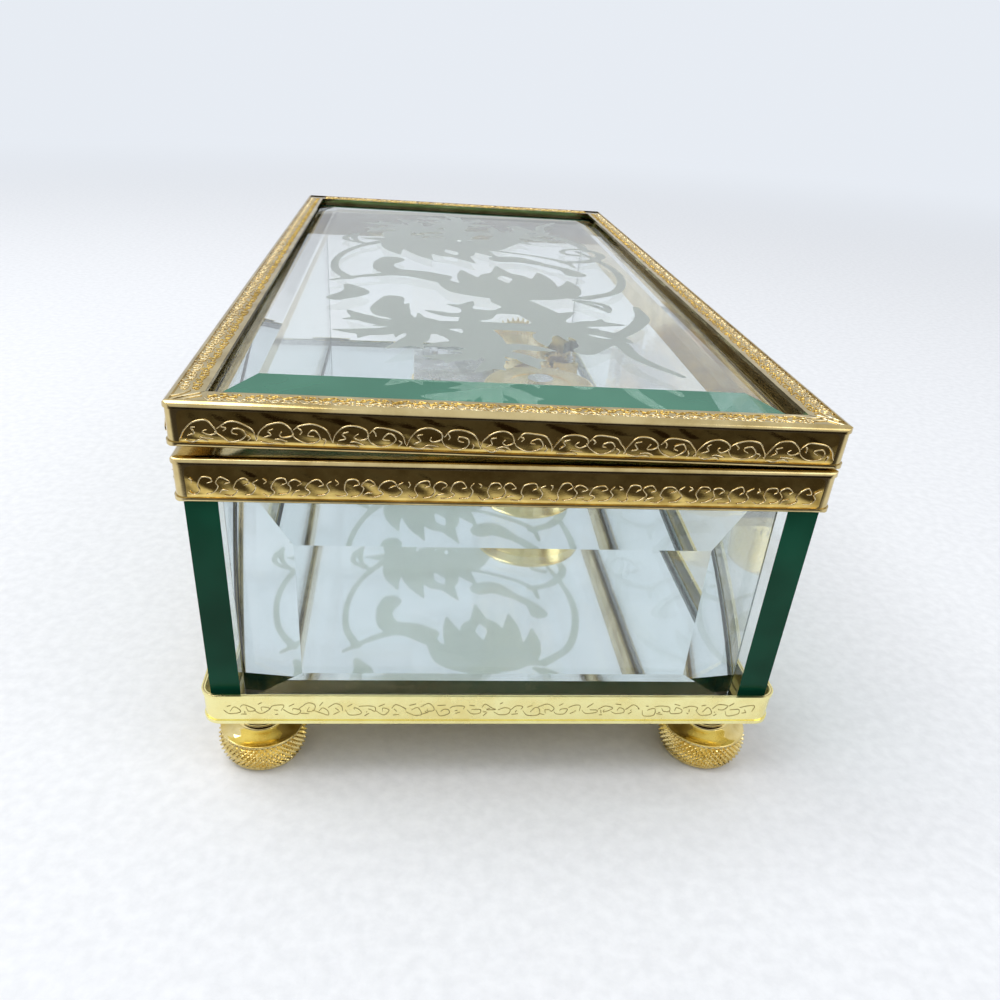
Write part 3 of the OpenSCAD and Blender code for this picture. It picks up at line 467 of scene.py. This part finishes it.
def flange_beads(w, l, z, v0, v1, motif, period, half, rise):
    """Curls on the lid's top flange, v counted inwards from the outer face."""
    end = 4.6                        # clear of the mitre
    bd = Beads()
    for (cx, cy), (ux, uy), (nx, ny), run in side_runs(w, l):
        free = run - 2 * end
        count = max(1, round(free / period))
        step = free / count

        def place(u, v, r, cx=cx, cy=cy, ux=ux, uy=uy, nx=nx, ny=ny):
            return (cx + ux * u - nx * v, cy + uy * u - ny * v, z - FIELD + r)
        for i in range(count):
            for line in motif:
                j = [(x + rng.uniform(-0.03, 0.03), y + rng.uniform(-0.06, 0.06)) for x, y in line]
                pts = [(end + (i + x) * step, v0 + (v1 - v0) * (1 - y)) for x, y in spline(j, 4)]
                bd.line(pts, place, half, rise)
    return bd


BULGE = 0.24
LID_TOP = LID_Z + LID_H
FOLDS = (  # creases where the lid's strip is folded at its two front corners, x and y
    [(-39.2, -79.2), (-38.2, -77.9), (-36.8, -76.8), (-36.1, -76.2)],
    [(-38.0, -79.2), (-37.0, -78.0), (-35.8, -77.2)], [(-39.2, -77.8), (-38.2, -76.9), (-37.4, -75.6)],
    [(39.2, -79.2), (38.0, -78.1), (36.9, -76.8)],
    [(36.9, -76.6), (35.4, -76.9), (33.8, -76.4), (32.2, -76.8)],
    [(37.4, -77.4), (35.8, -77.7), (34.2, -77.2)], [(36.6, -75.8), (37.6, -76.6), (38.6, -76.9)],
    [(38.9, -77.6), (38.0, -76.2), (37.6, -74.8)],
)
# lower edge and height of each embossed face
lid_face = (LID_Z + BORDER, LID_H - ROLL - BORDER)
rim_face = (RIM_Z + BORDER, RIM_H - ROLL - BORDER)
tray_face = (TRAY_Z + BORDER, TRAY_H - 2 * BORDER)
face_skin("lid_face_ground", LID_W, LID_L, *lid_face, BULGE, FIELD_GILT, "lid", "gilt_strip", 1.7, 0.4, seat)
face_skin("rim_face_ground", RIM_W, RIM_L, *rim_face, BULGE, FIELD_GILT, "case", "gilt_strip", 1.7, 0.4)
# the relief lines on lid face, flange, corner folds and wall frame carry the painted highlight
b = face_beads(LID_W, LID_L, *lid_face, 0.04, 0.74, ARCH, 8.7, 0.10, 0.12, bulge=BULGE)
make("lid_face_relief", b.v, b.f, BEAD_HIGHLIGHT, "lid", "gilt_strip", xf=seat)
b = flange_beads(LID_W, LID_L, LID_TOP, 0.9, 2.4, TICKS, 3.6, 0.09, 0.12)
make("lid_flange_relief", b.v, b.f, BEAD_HIGHLIGHT, "lid", "gilt_strip", xf=seat)
b = flange_beads(LID_W, LID_L, LID_TOP, 2.3, 3.7, TICKS, 4.1, 0.08, 0.10)
make("lid_flange_ticks", b.v, b.f, FIELD_GILT, "lid", "gilt_strip", xf=seat)
b = Beads()
for line in FOLDS:
    b.line(spline(line), lambda x, y, r: (x, y, LID_TOP - FIELD + r), 0.16, 0.14)
make("lid_corner_folds", b.v, b.f, BEAD_HIGHLIGHT, "lid", "gilt_strip", xf=seat)
b = face_beads(RIM_W, RIM_L, *rim_face, 0.06, 0.76, CURLS, 8.4, 0.09, 0.13, bulge=BULGE)
make("rim_face_relief", b.v, b.f, BEAD_HIGHLIGHT, "case", "gilt_strip")
# the tray's raised lines carry the painted shadow of the low relief
b = face_beads(TRAY_W, TRAY_L, *tray_face, 0.10, 0.90, FINE, 8.0, 0.07, 0.06, 3.0, wobble=0.09)
make("tray_face_relief", b.v, b.f, TRAY_LINE_SHADE, "case", "pale_strip")


def tray_rim():
    """Folded upper edge of the tray strip."""
    r, inset, z0, arc = 0.24, 0.25, TRAY_Z + TRAY_H - 0.22, 8
    cr = 2.5 - inset
    hw, hl = TRAY_W / 2 - inset, TRAY_L / 2 - inset
    path = []
    for k, (sx, sy) in enumerate(((1, -1), (1, 1), (-1, 1), (-1, -1))):
        for i in range(arc + 1):
            a = math.radians(-90 + 90 * (k + i / arc))
            path.append((sx * (hw - cr) + cr * math.cos(a), sy * (hl - cr) + cr * math.sin(a),
                         math.cos(a), math.sin(a)))
    sides = 10
    verts = [(x + nx * r * math.cos(b), y + ny * r * math.cos(b), z0 + r * math.sin(b))
             for x, y, nx, ny in path for b in (2 * math.pi * q / sides for q in range(sides))]
    n = len(path)
    faces = [(i * sides + q, ((i + 1) % n) * sides + q, ((i + 1) % n) * sides + (q + 1) % sides,
              i * sides + (q + 1) % sides) for i in range(n) for q in range(sides)]
    make("tray_folded_edge", verts, faces, GILT, "case", "pale_strip")


tray_rim()


# ---------------------------------------------------------------- knurled feet
def knurled_foot(name, fx, fy, node):
    """Turned foot: flat sole, diamond-knurled barrel, polished shoulder and ringed neck."""
    rim, neck, top, shoulder, high = 6.5, 3.5, 5.1, 1.0, TRAY_Z   # top: upper edge of the knurling
    teeth, seg, steps, deep = 46, 368, 44, 0.52                   # teeth round the foot, seg points a ring
    rings = [(0, 0, 0), (rim * 0.74, 0, 0), (rim * 0.80, 0.12, 0), (rim * 0.83, 0.3, 0)]
    spots = (0.3, 1.1, 2.3, 3.4, 4.4, top)
    radii = (0.83, 0.935, 0.995, 1.0, 0.97, 0.925)
    for i in range(1, steps):
        t = i / steps
        z = 0.3 + (top - 0.3) * t
        rings.append((float(np.interp(z, spots, radii)) * rim, z, min(1, 9 * t, 9 * (1 - t))))
    rings += [(rim * 0.925, top, 0), (rim * 0.905, top + 0.12, 0), (rim * 0.87, top + 0.10, 0),
              (rim * 0.80, top + 0.22, 0), (rim * 0.70, top + 0.52, 0), (rim * 0.62, top + shoulder, 0),
              (neck + 0.12, top + shoulder + 0.12, 0)]
    z = top + shoulder + 0.3
    while z < high - 1.1:
        rings += [(neck, z, 0), (neck, z + 0.28, 0), (neck - 0.10, z + 0.36, 0),
                  (neck - 0.10, z + 0.46, 0)]
        z += 0.56
    rings += [(neck, high - 0.9, 0), (neck + 0.35, high - 0.7, 0), (neck + 0.35, high, 0), (0, high, 0)]
    verts, faces = [], []
    for r, z, k in rings:
        for s in range(seg):
            a = 2 * math.pi * s / seg
            rr = r
            if k:
                turn, lift = teeth * s / seg, z * teeth / (2 * math.pi * rim)
                t1 = abs(((turn + lift) % 1) - 0.5) * 2
                t2 = abs(((turn - lift) % 1) - 0.5) * 2
                rr -= deep * k * (1 - min(t1, t2)) ** 1.1
            verts.append((fx + rr * math.cos(a), fy + rr * math.sin(a), z))
    for i in range(len(rings) - 1):
        for s in range(seg):
            t = (s + 1) % seg
            faces.append((i * seg + s, i * seg + t, (i + 1) * seg + t, (i + 1) * seg + s))
    ob = make(name, verts, faces, TURNED, "case", "turned_brass", smooth=False)
    for p in ob.data.polygons:
        p.use_smooth = p.center.z / MM > top
    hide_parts(node)


for sx, a in ((-1, "left"), (1, "right")):
    for sy, c in ((-1, "front"), (1, "rear")):
        knurled_foot(f"knurled_foot_{c}_{a}", sx * FOOT_X, sy * FOOT_Y, f"foot_{c}_{a}")

# ---------------------------------------------------------------- etched ornament of the lid
U = 0.8          # mm in one unit of the layout below; the lid is 100 by 200 units
STEP = 0.36      # grid, mm
GX = np.arange(-30.6, 30.61, STEP)
GY = np.arange(-66.24, 66.25, STEP)
field = np.full((len(GX), len(GY)), 9.0)


def stroke(pts, widths, cut=False, per=8):
    """Adds a stroke of changing width to the etched area, or cuts one out of it."""
    global field
    c = spline(pts, per)
    n = len(c)
    wx = np.linspace(0, 1, len(widths))
    for i, p in enumerate(c[:-1]):
        q = c[i + 1]
        for s in (0, 0.5):
            m = (p + (q - p) * s) * U
            w = float(np.interp((i + s) / (n - 1), wx, widths)) * U
            x0, x1 = np.searchsorted(GX, [m[0] - w - 1.2, m[0] + w + 1.2])
            y0, y1 = np.searchsorted(GY, [m[1] - w - 1.2, m[1] + w + 1.2])
            if x0 >= x1 or y0 >= y1:
                continue
            d = np.hypot(GX[x0:x1, None] - m[0], GY[None, y0:y1] - m[1]) - w
            part = field[x0:x1, y0:y1]
            field[x0:x1, y0:y1] = np.maximum(part, -d) if cut else np.minimum(part, d)


def leaf(x, y, ang, length, width, bend=0.0, vein=True):
    """Pointed leaf from (x, y) along ang in degrees, bent sideways by a share of its length."""
    a = math.radians(ang)
    pts = []
    for t in (0, 0.25, 0.5, 0.75, 1.0):
        o = bend * math.sin(math.pi * t) * length
        pts.append((x + math.cos(a) * t * length - math.sin(a) * o,
                    y + math.sin(a) * t * length + math.cos(a) * o))
    stroke(pts, [width * 0.25, width * 0.8, width, width * 0.6, 0.05])
    if vein:
        stroke(pts[1:4], [0.1, 0.35, 0.1], cut=True)


def tulip(x, y, ang, size, spread_deg=24, petals=5):
    """Toothed bell flower with an eye, opening along ang from its stem."""
    for k in range(petals):
        o = k - (petals - 1) / 2
        leaf(x, y, ang + spread_deg * o * 0.8, size * (1 - 0.13 * abs(o)), size * 0.115,
             0.10 * o, False)
    a = math.radians(ang)
    mid = [(x + math.cos(a) * size * t, y + math.sin(a) * size * t) for t in (0.10, 0.34, 0.58)]
    stroke(mid, [size * 0.06, size * 0.17, size * 0.19])
    eye = [(x + math.cos(a) * size * t, y + math.sin(a) * size * t) for t in (0.44, 0.56, 0.66)]
    stroke(eye, [0.3, size * 0.055, 0.3], cut=True)


def palmette(x, y, a0, a1, n, length, width, s):
    """Fan of leaves with a clear slot in each, on a round hub."""
    stroke([(x, (y - 1) * s), (x, (y + 1) * s)], [length * 0.3, length * 0.3])
    for k in range(n):
        an = (a0 + (a1 - a0) * k / (n - 1)) * s
        ln = length * (1 - 0.12 * (k % 2))
        leaf(x, y * s, an, ln, width, 0.16 * s * (1 if k % 2 else -1), False)
        a = math.radians(an)
        slot = [(x + math.cos(a) * ln * t, y * s + math.sin(a) * ln * t) for t in (0.34, 0.5, 0.68)]
        stroke(slot, [0.15, 0.75, 0.1], cut=True)


def half_ornament(s):
    """Crowded pointed leafage that fills one end, s = -1 for the front end."""
    stroke([(6, 30 * s), (11, 40 * s), (13, 48 * s)], [4.5, 4.5, 4.0])
    stroke([(-19, 32 * s), (-20, 42 * s), (-15, 50 * s)], [2.4, 3.4, 4.0])
    stroke([(-13, 52 * s), (-4, 50 * s), (13, 50 * s)], [3.0, 2.4, 3.0])
    stroke([(-4, 46 * s), (-2, 58 * s), (-2, 66 * s)], [2.0, 3.6, 4.0])
    stroke([(33, 30 * s), (32, 40 * s), (26, 51 * s), (20, 56 * s)], [0.7, 1.7, 1.5, 2.0])
    stroke([(16, 64 * s), (23, 57 * s), (25, 67 * s), (31, 77 * s)], [2.2, 1.5, 1.3, 0.6])
    palmette(-14, 52, 60, 265, 9, 17, 2.5, s)
    palmette(14, 50, -70, 110, 8, 15, 2.3, s)
    palmette(-2, 66, -5, 185, 8, 13, 2.2, s)
    palmette(-2, 42, 190, 350, 5, 11, 1.9, s)


# thin stems that frame the middle
stroke([(-15, 38), (-22, 31), (-29, 21), (-33, 8), (-33, -6), (-29, -16)], [2.8, 1.7, 1.0, 0.9, 1.0, 1.4])
stroke([(30, 30), (34, 18), (36, 6), (35, -6), (31, -17), (23, -24)], [0.6, 0.9, 1.1, 1.1, 1.2, 1.5])
stroke([(-33, -18), (-25, -12), (-17, -9), (-9, -14), (2, -20), (13, -23), (24, -24)],
       [0.6, 1.2, 1.5, 1.2, 0.9, 0.9, 1.4])
stroke([(-12, 35), (-4, 27), (6, 25), (16, 21), (24, 15), (26, 8)], [1.6, 1.1, 0.8, 0.9, 1.1, 0.5])
stroke([(24, 14), (31, 17), (36, 25), (33, 33), (27, 31), (26, 26), (30, 24)],
       [1.2, 1.5, 1.3, 1.0, 0.8, 0.8, 1.2])
# drop-shaped leaves
stroke([(8, 14), (12, 14.5), (18, 10), (23, 5), (25, 0)], [3.4, 3.2, 1.6, 1.6, 2.8])
stroke([(-20, 7), (-22, 1), (-20, -6), (-13, -8), (-8, -10)], [3.2, 2.4, 3.2, 3.4, 2.6])
stroke([(-29, -22), (-27, -28), (-31, -34)], [1.0, 3.0, 2.0])
tulip(-12, 36, -66, 32)
tulip(8, -27, 94, 33)
for x, y, an, ln, w, bd in ((-12, 42, 205, 20, 3.0, 0.2), (-11, 44, 25, 18, 3.2, -0.22),
                            (-14, 46, 240, 14, 2.4, -0.2), (-11, 38, 345, 15, 2.4, 0.18),
                            (-30, 40, 285, 16, 2.2, -0.25), (20, -26, 300, 12, 2.2, 0.2)):
    leaf(x, y, an, ln, w, bd)
half_ornament(-1)
half_ornament(1)
field[0, :] = field[-1, :] = field[:, 0] = field[:, -1] = 1.0


def contours(f):
    """Closed outlines of f < 0, by marching squares."""
    seg = {}
    cache = {}

    def cross(i, j, k, l):
        key = (i, j, k, l)
        if key not in cache:
            a, c = f[i, j], f[k, l]
            t = min(0.97, max(0.03, a / (a - c)))
            cache[key] = (GX[i] + (GX[k] - GX[i]) * t, GY[j] + (GY[l] - GY[j]) * t)
        return key
    s = f < 0
    low = s[:-1, :-1]
    mixed = np.argwhere((low != s[1:, :-1]) | (low != s[:-1, 1:]) | (low != s[1:, 1:]))
    for i, j in mixed:
        i, j = int(i), int(j)
        code = s[i, j] | s[i + 1, j] << 1 | s[i + 1, j + 1] << 2 | s[i, j + 1] << 3
        lo = lambda: cross(i, j, i + 1, j)
        ri = lambda: cross(i + 1, j, i + 1, j + 1)
        up = lambda: cross(i, j + 1, i + 1, j + 1)
        le = lambda: cross(i, j, i, j + 1)
        # each pair runs with the etched side on its left
        pairs = {1: [(lo, le)], 2: [(ri, lo)], 3: [(ri, le)], 4: [(up, ri)], 5: [(lo, le), (up, ri)],
                 6: [(up, lo)], 7: [(up, le)], 8: [(le, up)], 9: [(lo, up)], 10: [(ri, lo), (le, up)],
                 11: [(ri, up)], 12: [(le, ri)], 13: [(lo, ri)], 14: [(le, lo)]}[int(code)]
        for a, c in pairs:
            seg[a()] = c()
    loops = []
    while seg:
        start, nxt = seg.popitem()
        loop = [start]
        while nxt != start:
            loop.append(nxt)
            nxt = seg.pop(nxt)
        pts = [cache[k] for k in loop]
        for _ in range(2):
            pts = [((p[0] + 2 * q[0] + r[0]) / 4, (p[1] + 2 * q[1] + r[1]) / 4)
                   for p, q, r in zip(pts[-1:] + pts[:-1], pts, pts[1:] + pts[:1])]
        keep = pts[::2]
        if len(keep) >= 5:
            loops.append(keep)
    return loops


def flat_sheet(name, loops, z, half, mat, body, xf=None):
    """A thin flat sheet with the given outlines, holes among them."""
    cu = bpy.data.curves.new(name, "CURVE")
    cu.dimensions = "2D"
    cu.fill_mode = "BOTH"
    cu.extrude = half * MM
    for loop in loops:
        sp = cu.splines.new("POLY")
        sp.points.add(len(loop) - 1)
        for k, (x, y) in enumerate(loop):
            sp.points[k].co = (x * MM, y * MM, 0, 1)
        sp.use_cyclic_u = True
    tmp = bpy.data.objects.new(name + "_curve", cu)
    bpy.context.scene.collection.objects.link(tmp)
    bpy.context.view_layer.update()
    me = bpy.data.meshes.new_from_object(tmp)
    bpy.data.objects.remove(tmp)
    me.transform(Matrix.Translation((0, 0, z * MM)))
    if xf is not None:
        me.transform(Matrix.Scale(MM, 4) @ xf @ Matrix.Scale(1 / MM, 4))
    me.materials.clear()
    me.materials.append(mat)
    ob = bpy.data.objects.new(name, me)
    bpy.context.scene.collection.objects.link(ob)
    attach(ob, body)
    return ob


def ring(x, y, r, n=32):
    """Points on a circle."""
    return [(x + r * math.cos(2 * math.pi * k / n), y + r * math.sin(2 * math.pi * k / n)) for k in range(n)]


# frosted just under the polished top of the lid glass
flat_sheet("lid_etching", contours(field), LID_Z + GLASS_LIFT + GLASS_T - 0.03, 0.01, FROST,
           "lid", seat)

# silvering on the back of the floor mirror, cut out round the winding arbor
m_lo, m_hi = [Vector(v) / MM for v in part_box("floor_mirror")]
a_lo, a_hi = [Vector(v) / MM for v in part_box("winding_arbor")]
edge = 0.3
outline = [(m_lo.x + edge, m_lo.y + edge), (m_hi.x - edge, m_lo.y + edge),
           (m_hi.x - edge, m_hi.y - edge), (m_lo.x + edge, m_hi.y - edge)]
hole = ring((a_lo.x + a_hi.x) / 2, (a_lo.y + a_hi.y) / 2, 2.6)
flat_sheet("mirror_silvering", [outline, hole], m_lo.z + 0.03, 0.01, MIRROR, "case")


# ---------------------------------------------------------------- floor, lights, camera
PALE_FAR = (0.80, 0.84, 0.90)


def ramp_value(nt, src, a, b):
    """0 below a, 1 above b, smooth between."""
    mr = nt.nodes.new("ShaderNodeMapRange")
    mr.interpolation_type = "SMOOTHSTEP"
    mr.inputs["From Min"].default_value = a
    mr.inputs["From Max"].default_value = b
    nt.links.new(src, mr.inputs["Value"])
    return mr.outputs[0]


def floor_mat():
    """Pale paper, with a painted dark reflection ahead of the casket for glossy rays only, and faded out far
    off.
    """
    m, nt, b, out = new_mat("floor_paper")
    n = noise(nt, 500, 6)
    r = ramp(nt, n.outputs["Fac"], [(0.35, (0.75, 0.76, 0.78)), (0.65, (0.81, 0.82, 0.84))])
    b.inputs["Roughness"].default_value = 0.8
    bump(nt, b, n.outputs["Fac"], 0.35, 0.0004)
    geo = nt.nodes.new("ShaderNodeNewGeometry")
    sep = nt.nodes.new("ShaderNodeSeparateXYZ")
    nt.links.new(geo.outputs["Position"], sep.inputs[0])
    lp = nt.nodes.new("ShaderNodeLightPath")
    # painted dark reflection: glossy rays see the paper dark in front of the casket, standing in for the
    # dark room that metal and glass reflect there
    front = math_node(nt, "SUBTRACT", 1.0, ramp_value(nt, sep.outputs[1], -0.180, -0.125))
    dark_reflection_share = math_node(nt, "MULTIPLY", front, lp.outputs["Is Glossy Ray"])
    mix = nt.nodes.new("ShaderNodeMix")
    mix.data_type = "RGBA"
    nt.links.new(dark_reflection_share, mix.inputs[0])
    nt.links.new(r.outputs[0], mix.inputs[6])
    mix.inputs[7].default_value = (0.020, 0.012, 0.008, 1)
    nt.links.new(mix.outputs[2], b.inputs["Base Color"])
    # far off, the paper fades into the pale background
    reach = nt.nodes.new("ShaderNodeVectorMath")
    reach.operation = "LENGTH"
    nt.links.new(geo.outputs["Position"], reach.inputs[0])
    far = ramp_value(nt, reach.outputs["Value"], 0.25, 0.9)
    seen = math_node(nt, "MAXIMUM", lp.outputs["Is Camera Ray"], lp.outputs["Is Transmission Ray"])
    em = nt.nodes.new("ShaderNodeEmission")
    em.inputs["Color"].default_value = (*PALE_FAR, 1)
    surface = mix_shader(nt, math_node(nt, "MULTIPLY", far, seen), b.outputs[0], em.outputs[0])
    nt.links.new(surface, out.inputs["Surface"])
    return m


bpy.ops.mesh.primitive_plane_add(size=6, location=(0, 0, 0))
floor = bpy.context.object
floor.name = "floor"
floor.data.materials.append(floor_mat())
floor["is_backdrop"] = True

world = bpy.data.worlds.new("world")
bpy.context.scene.world = world
world.use_nodes = True
nt = world.node_tree
nt.nodes.clear()
wo = nt.nodes.new("ShaderNodeOutputWorld")
bg_room = nt.nodes.new("ShaderNodeBackground")
bg_pale = nt.nodes.new("ShaderNodeBackground")
tc = nt.nodes.new("ShaderNodeTexCoord")
sp = nt.nodes.new("ShaderNodeSeparateXYZ")
nt.links.new(tc.outputs["Generated"], sp.inputs[0])
sky = ramp(nt, sp.outputs[2], [(0.0, (0.74, 0.76, 0.80)), (0.35, (0.80, 0.83, 0.88)),
                               (0.75, (0.95, 0.97, 1.0))])
# the dark side of the room lies low, in front of the casket
low = math_node(nt, "SUBTRACT", 1.0, ramp_value(nt, sp.outputs[2], 0.22, 0.50))
ahead = math_node(nt, "SUBTRACT", 1.0, ramp_value(nt, sp.outputs[1], -0.75, -0.05))
room = nt.nodes.new("ShaderNodeMix")
room.data_type = "RGBA"
nt.links.new(math_node(nt, "MULTIPLY", low, ahead), room.inputs[0])
nt.links.new(sky.outputs[0], room.inputs[6])
room.inputs[7].default_value = (0.018, 0.011, 0.008, 1)
nt.links.new(room.outputs[2], bg_room.inputs["Color"])
bg_room.inputs["Strength"].default_value = 0.85
bg_pale.inputs["Color"].default_value = (*PALE_FAR, 1)
lp = nt.nodes.new("ShaderNodeLightPath")
seen = math_node(nt, "MAXIMUM", lp.outputs["Is Camera Ray"], lp.outputs["Is Transmission Ray"])
nt.links.new(mix_shader(nt, seen, bg_room.outputs[0], bg_pale.outputs[0]), wo.inputs[0])


def area(name, loc, target, size, power, color=(1, 1, 1)):
    d = bpy.data.lights.new(name, "AREA")
    d.shape = "RECTANGLE"
    d.size, d.size_y = size
    d.energy = power
    d.color = color
    o = bpy.data.objects.new(name, d)
    o.location = loc
    o.rotation_euler = (Vector(target) - Vector(loc)).to_track_quat("-Z", "Y").to_euler()
    bpy.context.scene.collection.objects.link(o)


area("key", (-0.34, -0.06, 0.70), (0, 0, 0.03), (0.5, 0.5), 3.2)
area("fill", (0.5, -0.35, 0.5), (0, 0, 0.03), (0.4, 0.4), 0.7)

# the camera fitted to the photo's edges
yaw, pitch, roll = map(math.radians, (-4.575, 31.601, 3.085))
cz, sz = math.cos(yaw), math.sin(yaw)
Rz = np.array([[cz, -sz, 0], [sz, cz, 0], [0, 0, 1]]).T
B = np.array([[1, 0, 0], [0, 0, -1], [0, 1, 0]], float)
c, s = math.cos(pitch), math.sin(pitch)
Rp = np.array([[1, 0, 0], [0, c, -s], [0, s, c]])
c, s = math.cos(roll), math.sin(roll)
Rr = np.array([[c, -s, 0], [s, c, 0], [0, 0, 1]])
M = Rr @ Rp @ B @ Rz
cd = bpy.data.cameras.new("camera")
cam = bpy.data.objects.new("camera", cd)
bpy.context.scene.collection.objects.link(cam)
mw = Matrix.Identity(4)
for r in range(3):
    mw[r][0], mw[r][1], mw[r][2] = M[0][r], -M[1][r], -M[2][r]
mw[0][3], mw[1][3], mw[2][3] = -0.01254, -0.17057, 0.09040
cam.matrix_world = mw
cd.sensor_width, cd.lens = 36, 30.443
cd.shift_x, cd.shift_y = 0.037, 0.0775
cd.clip_start, cd.clip_end = 0.005, 20
bpy.context.scene.camera = cam
bpy.context.scene.view_settings.view_transform = "Standard"

lo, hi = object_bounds()
{"cad": [list(cad_lo), list(cad_hi)], "visual": [list(lo), list(hi)]}
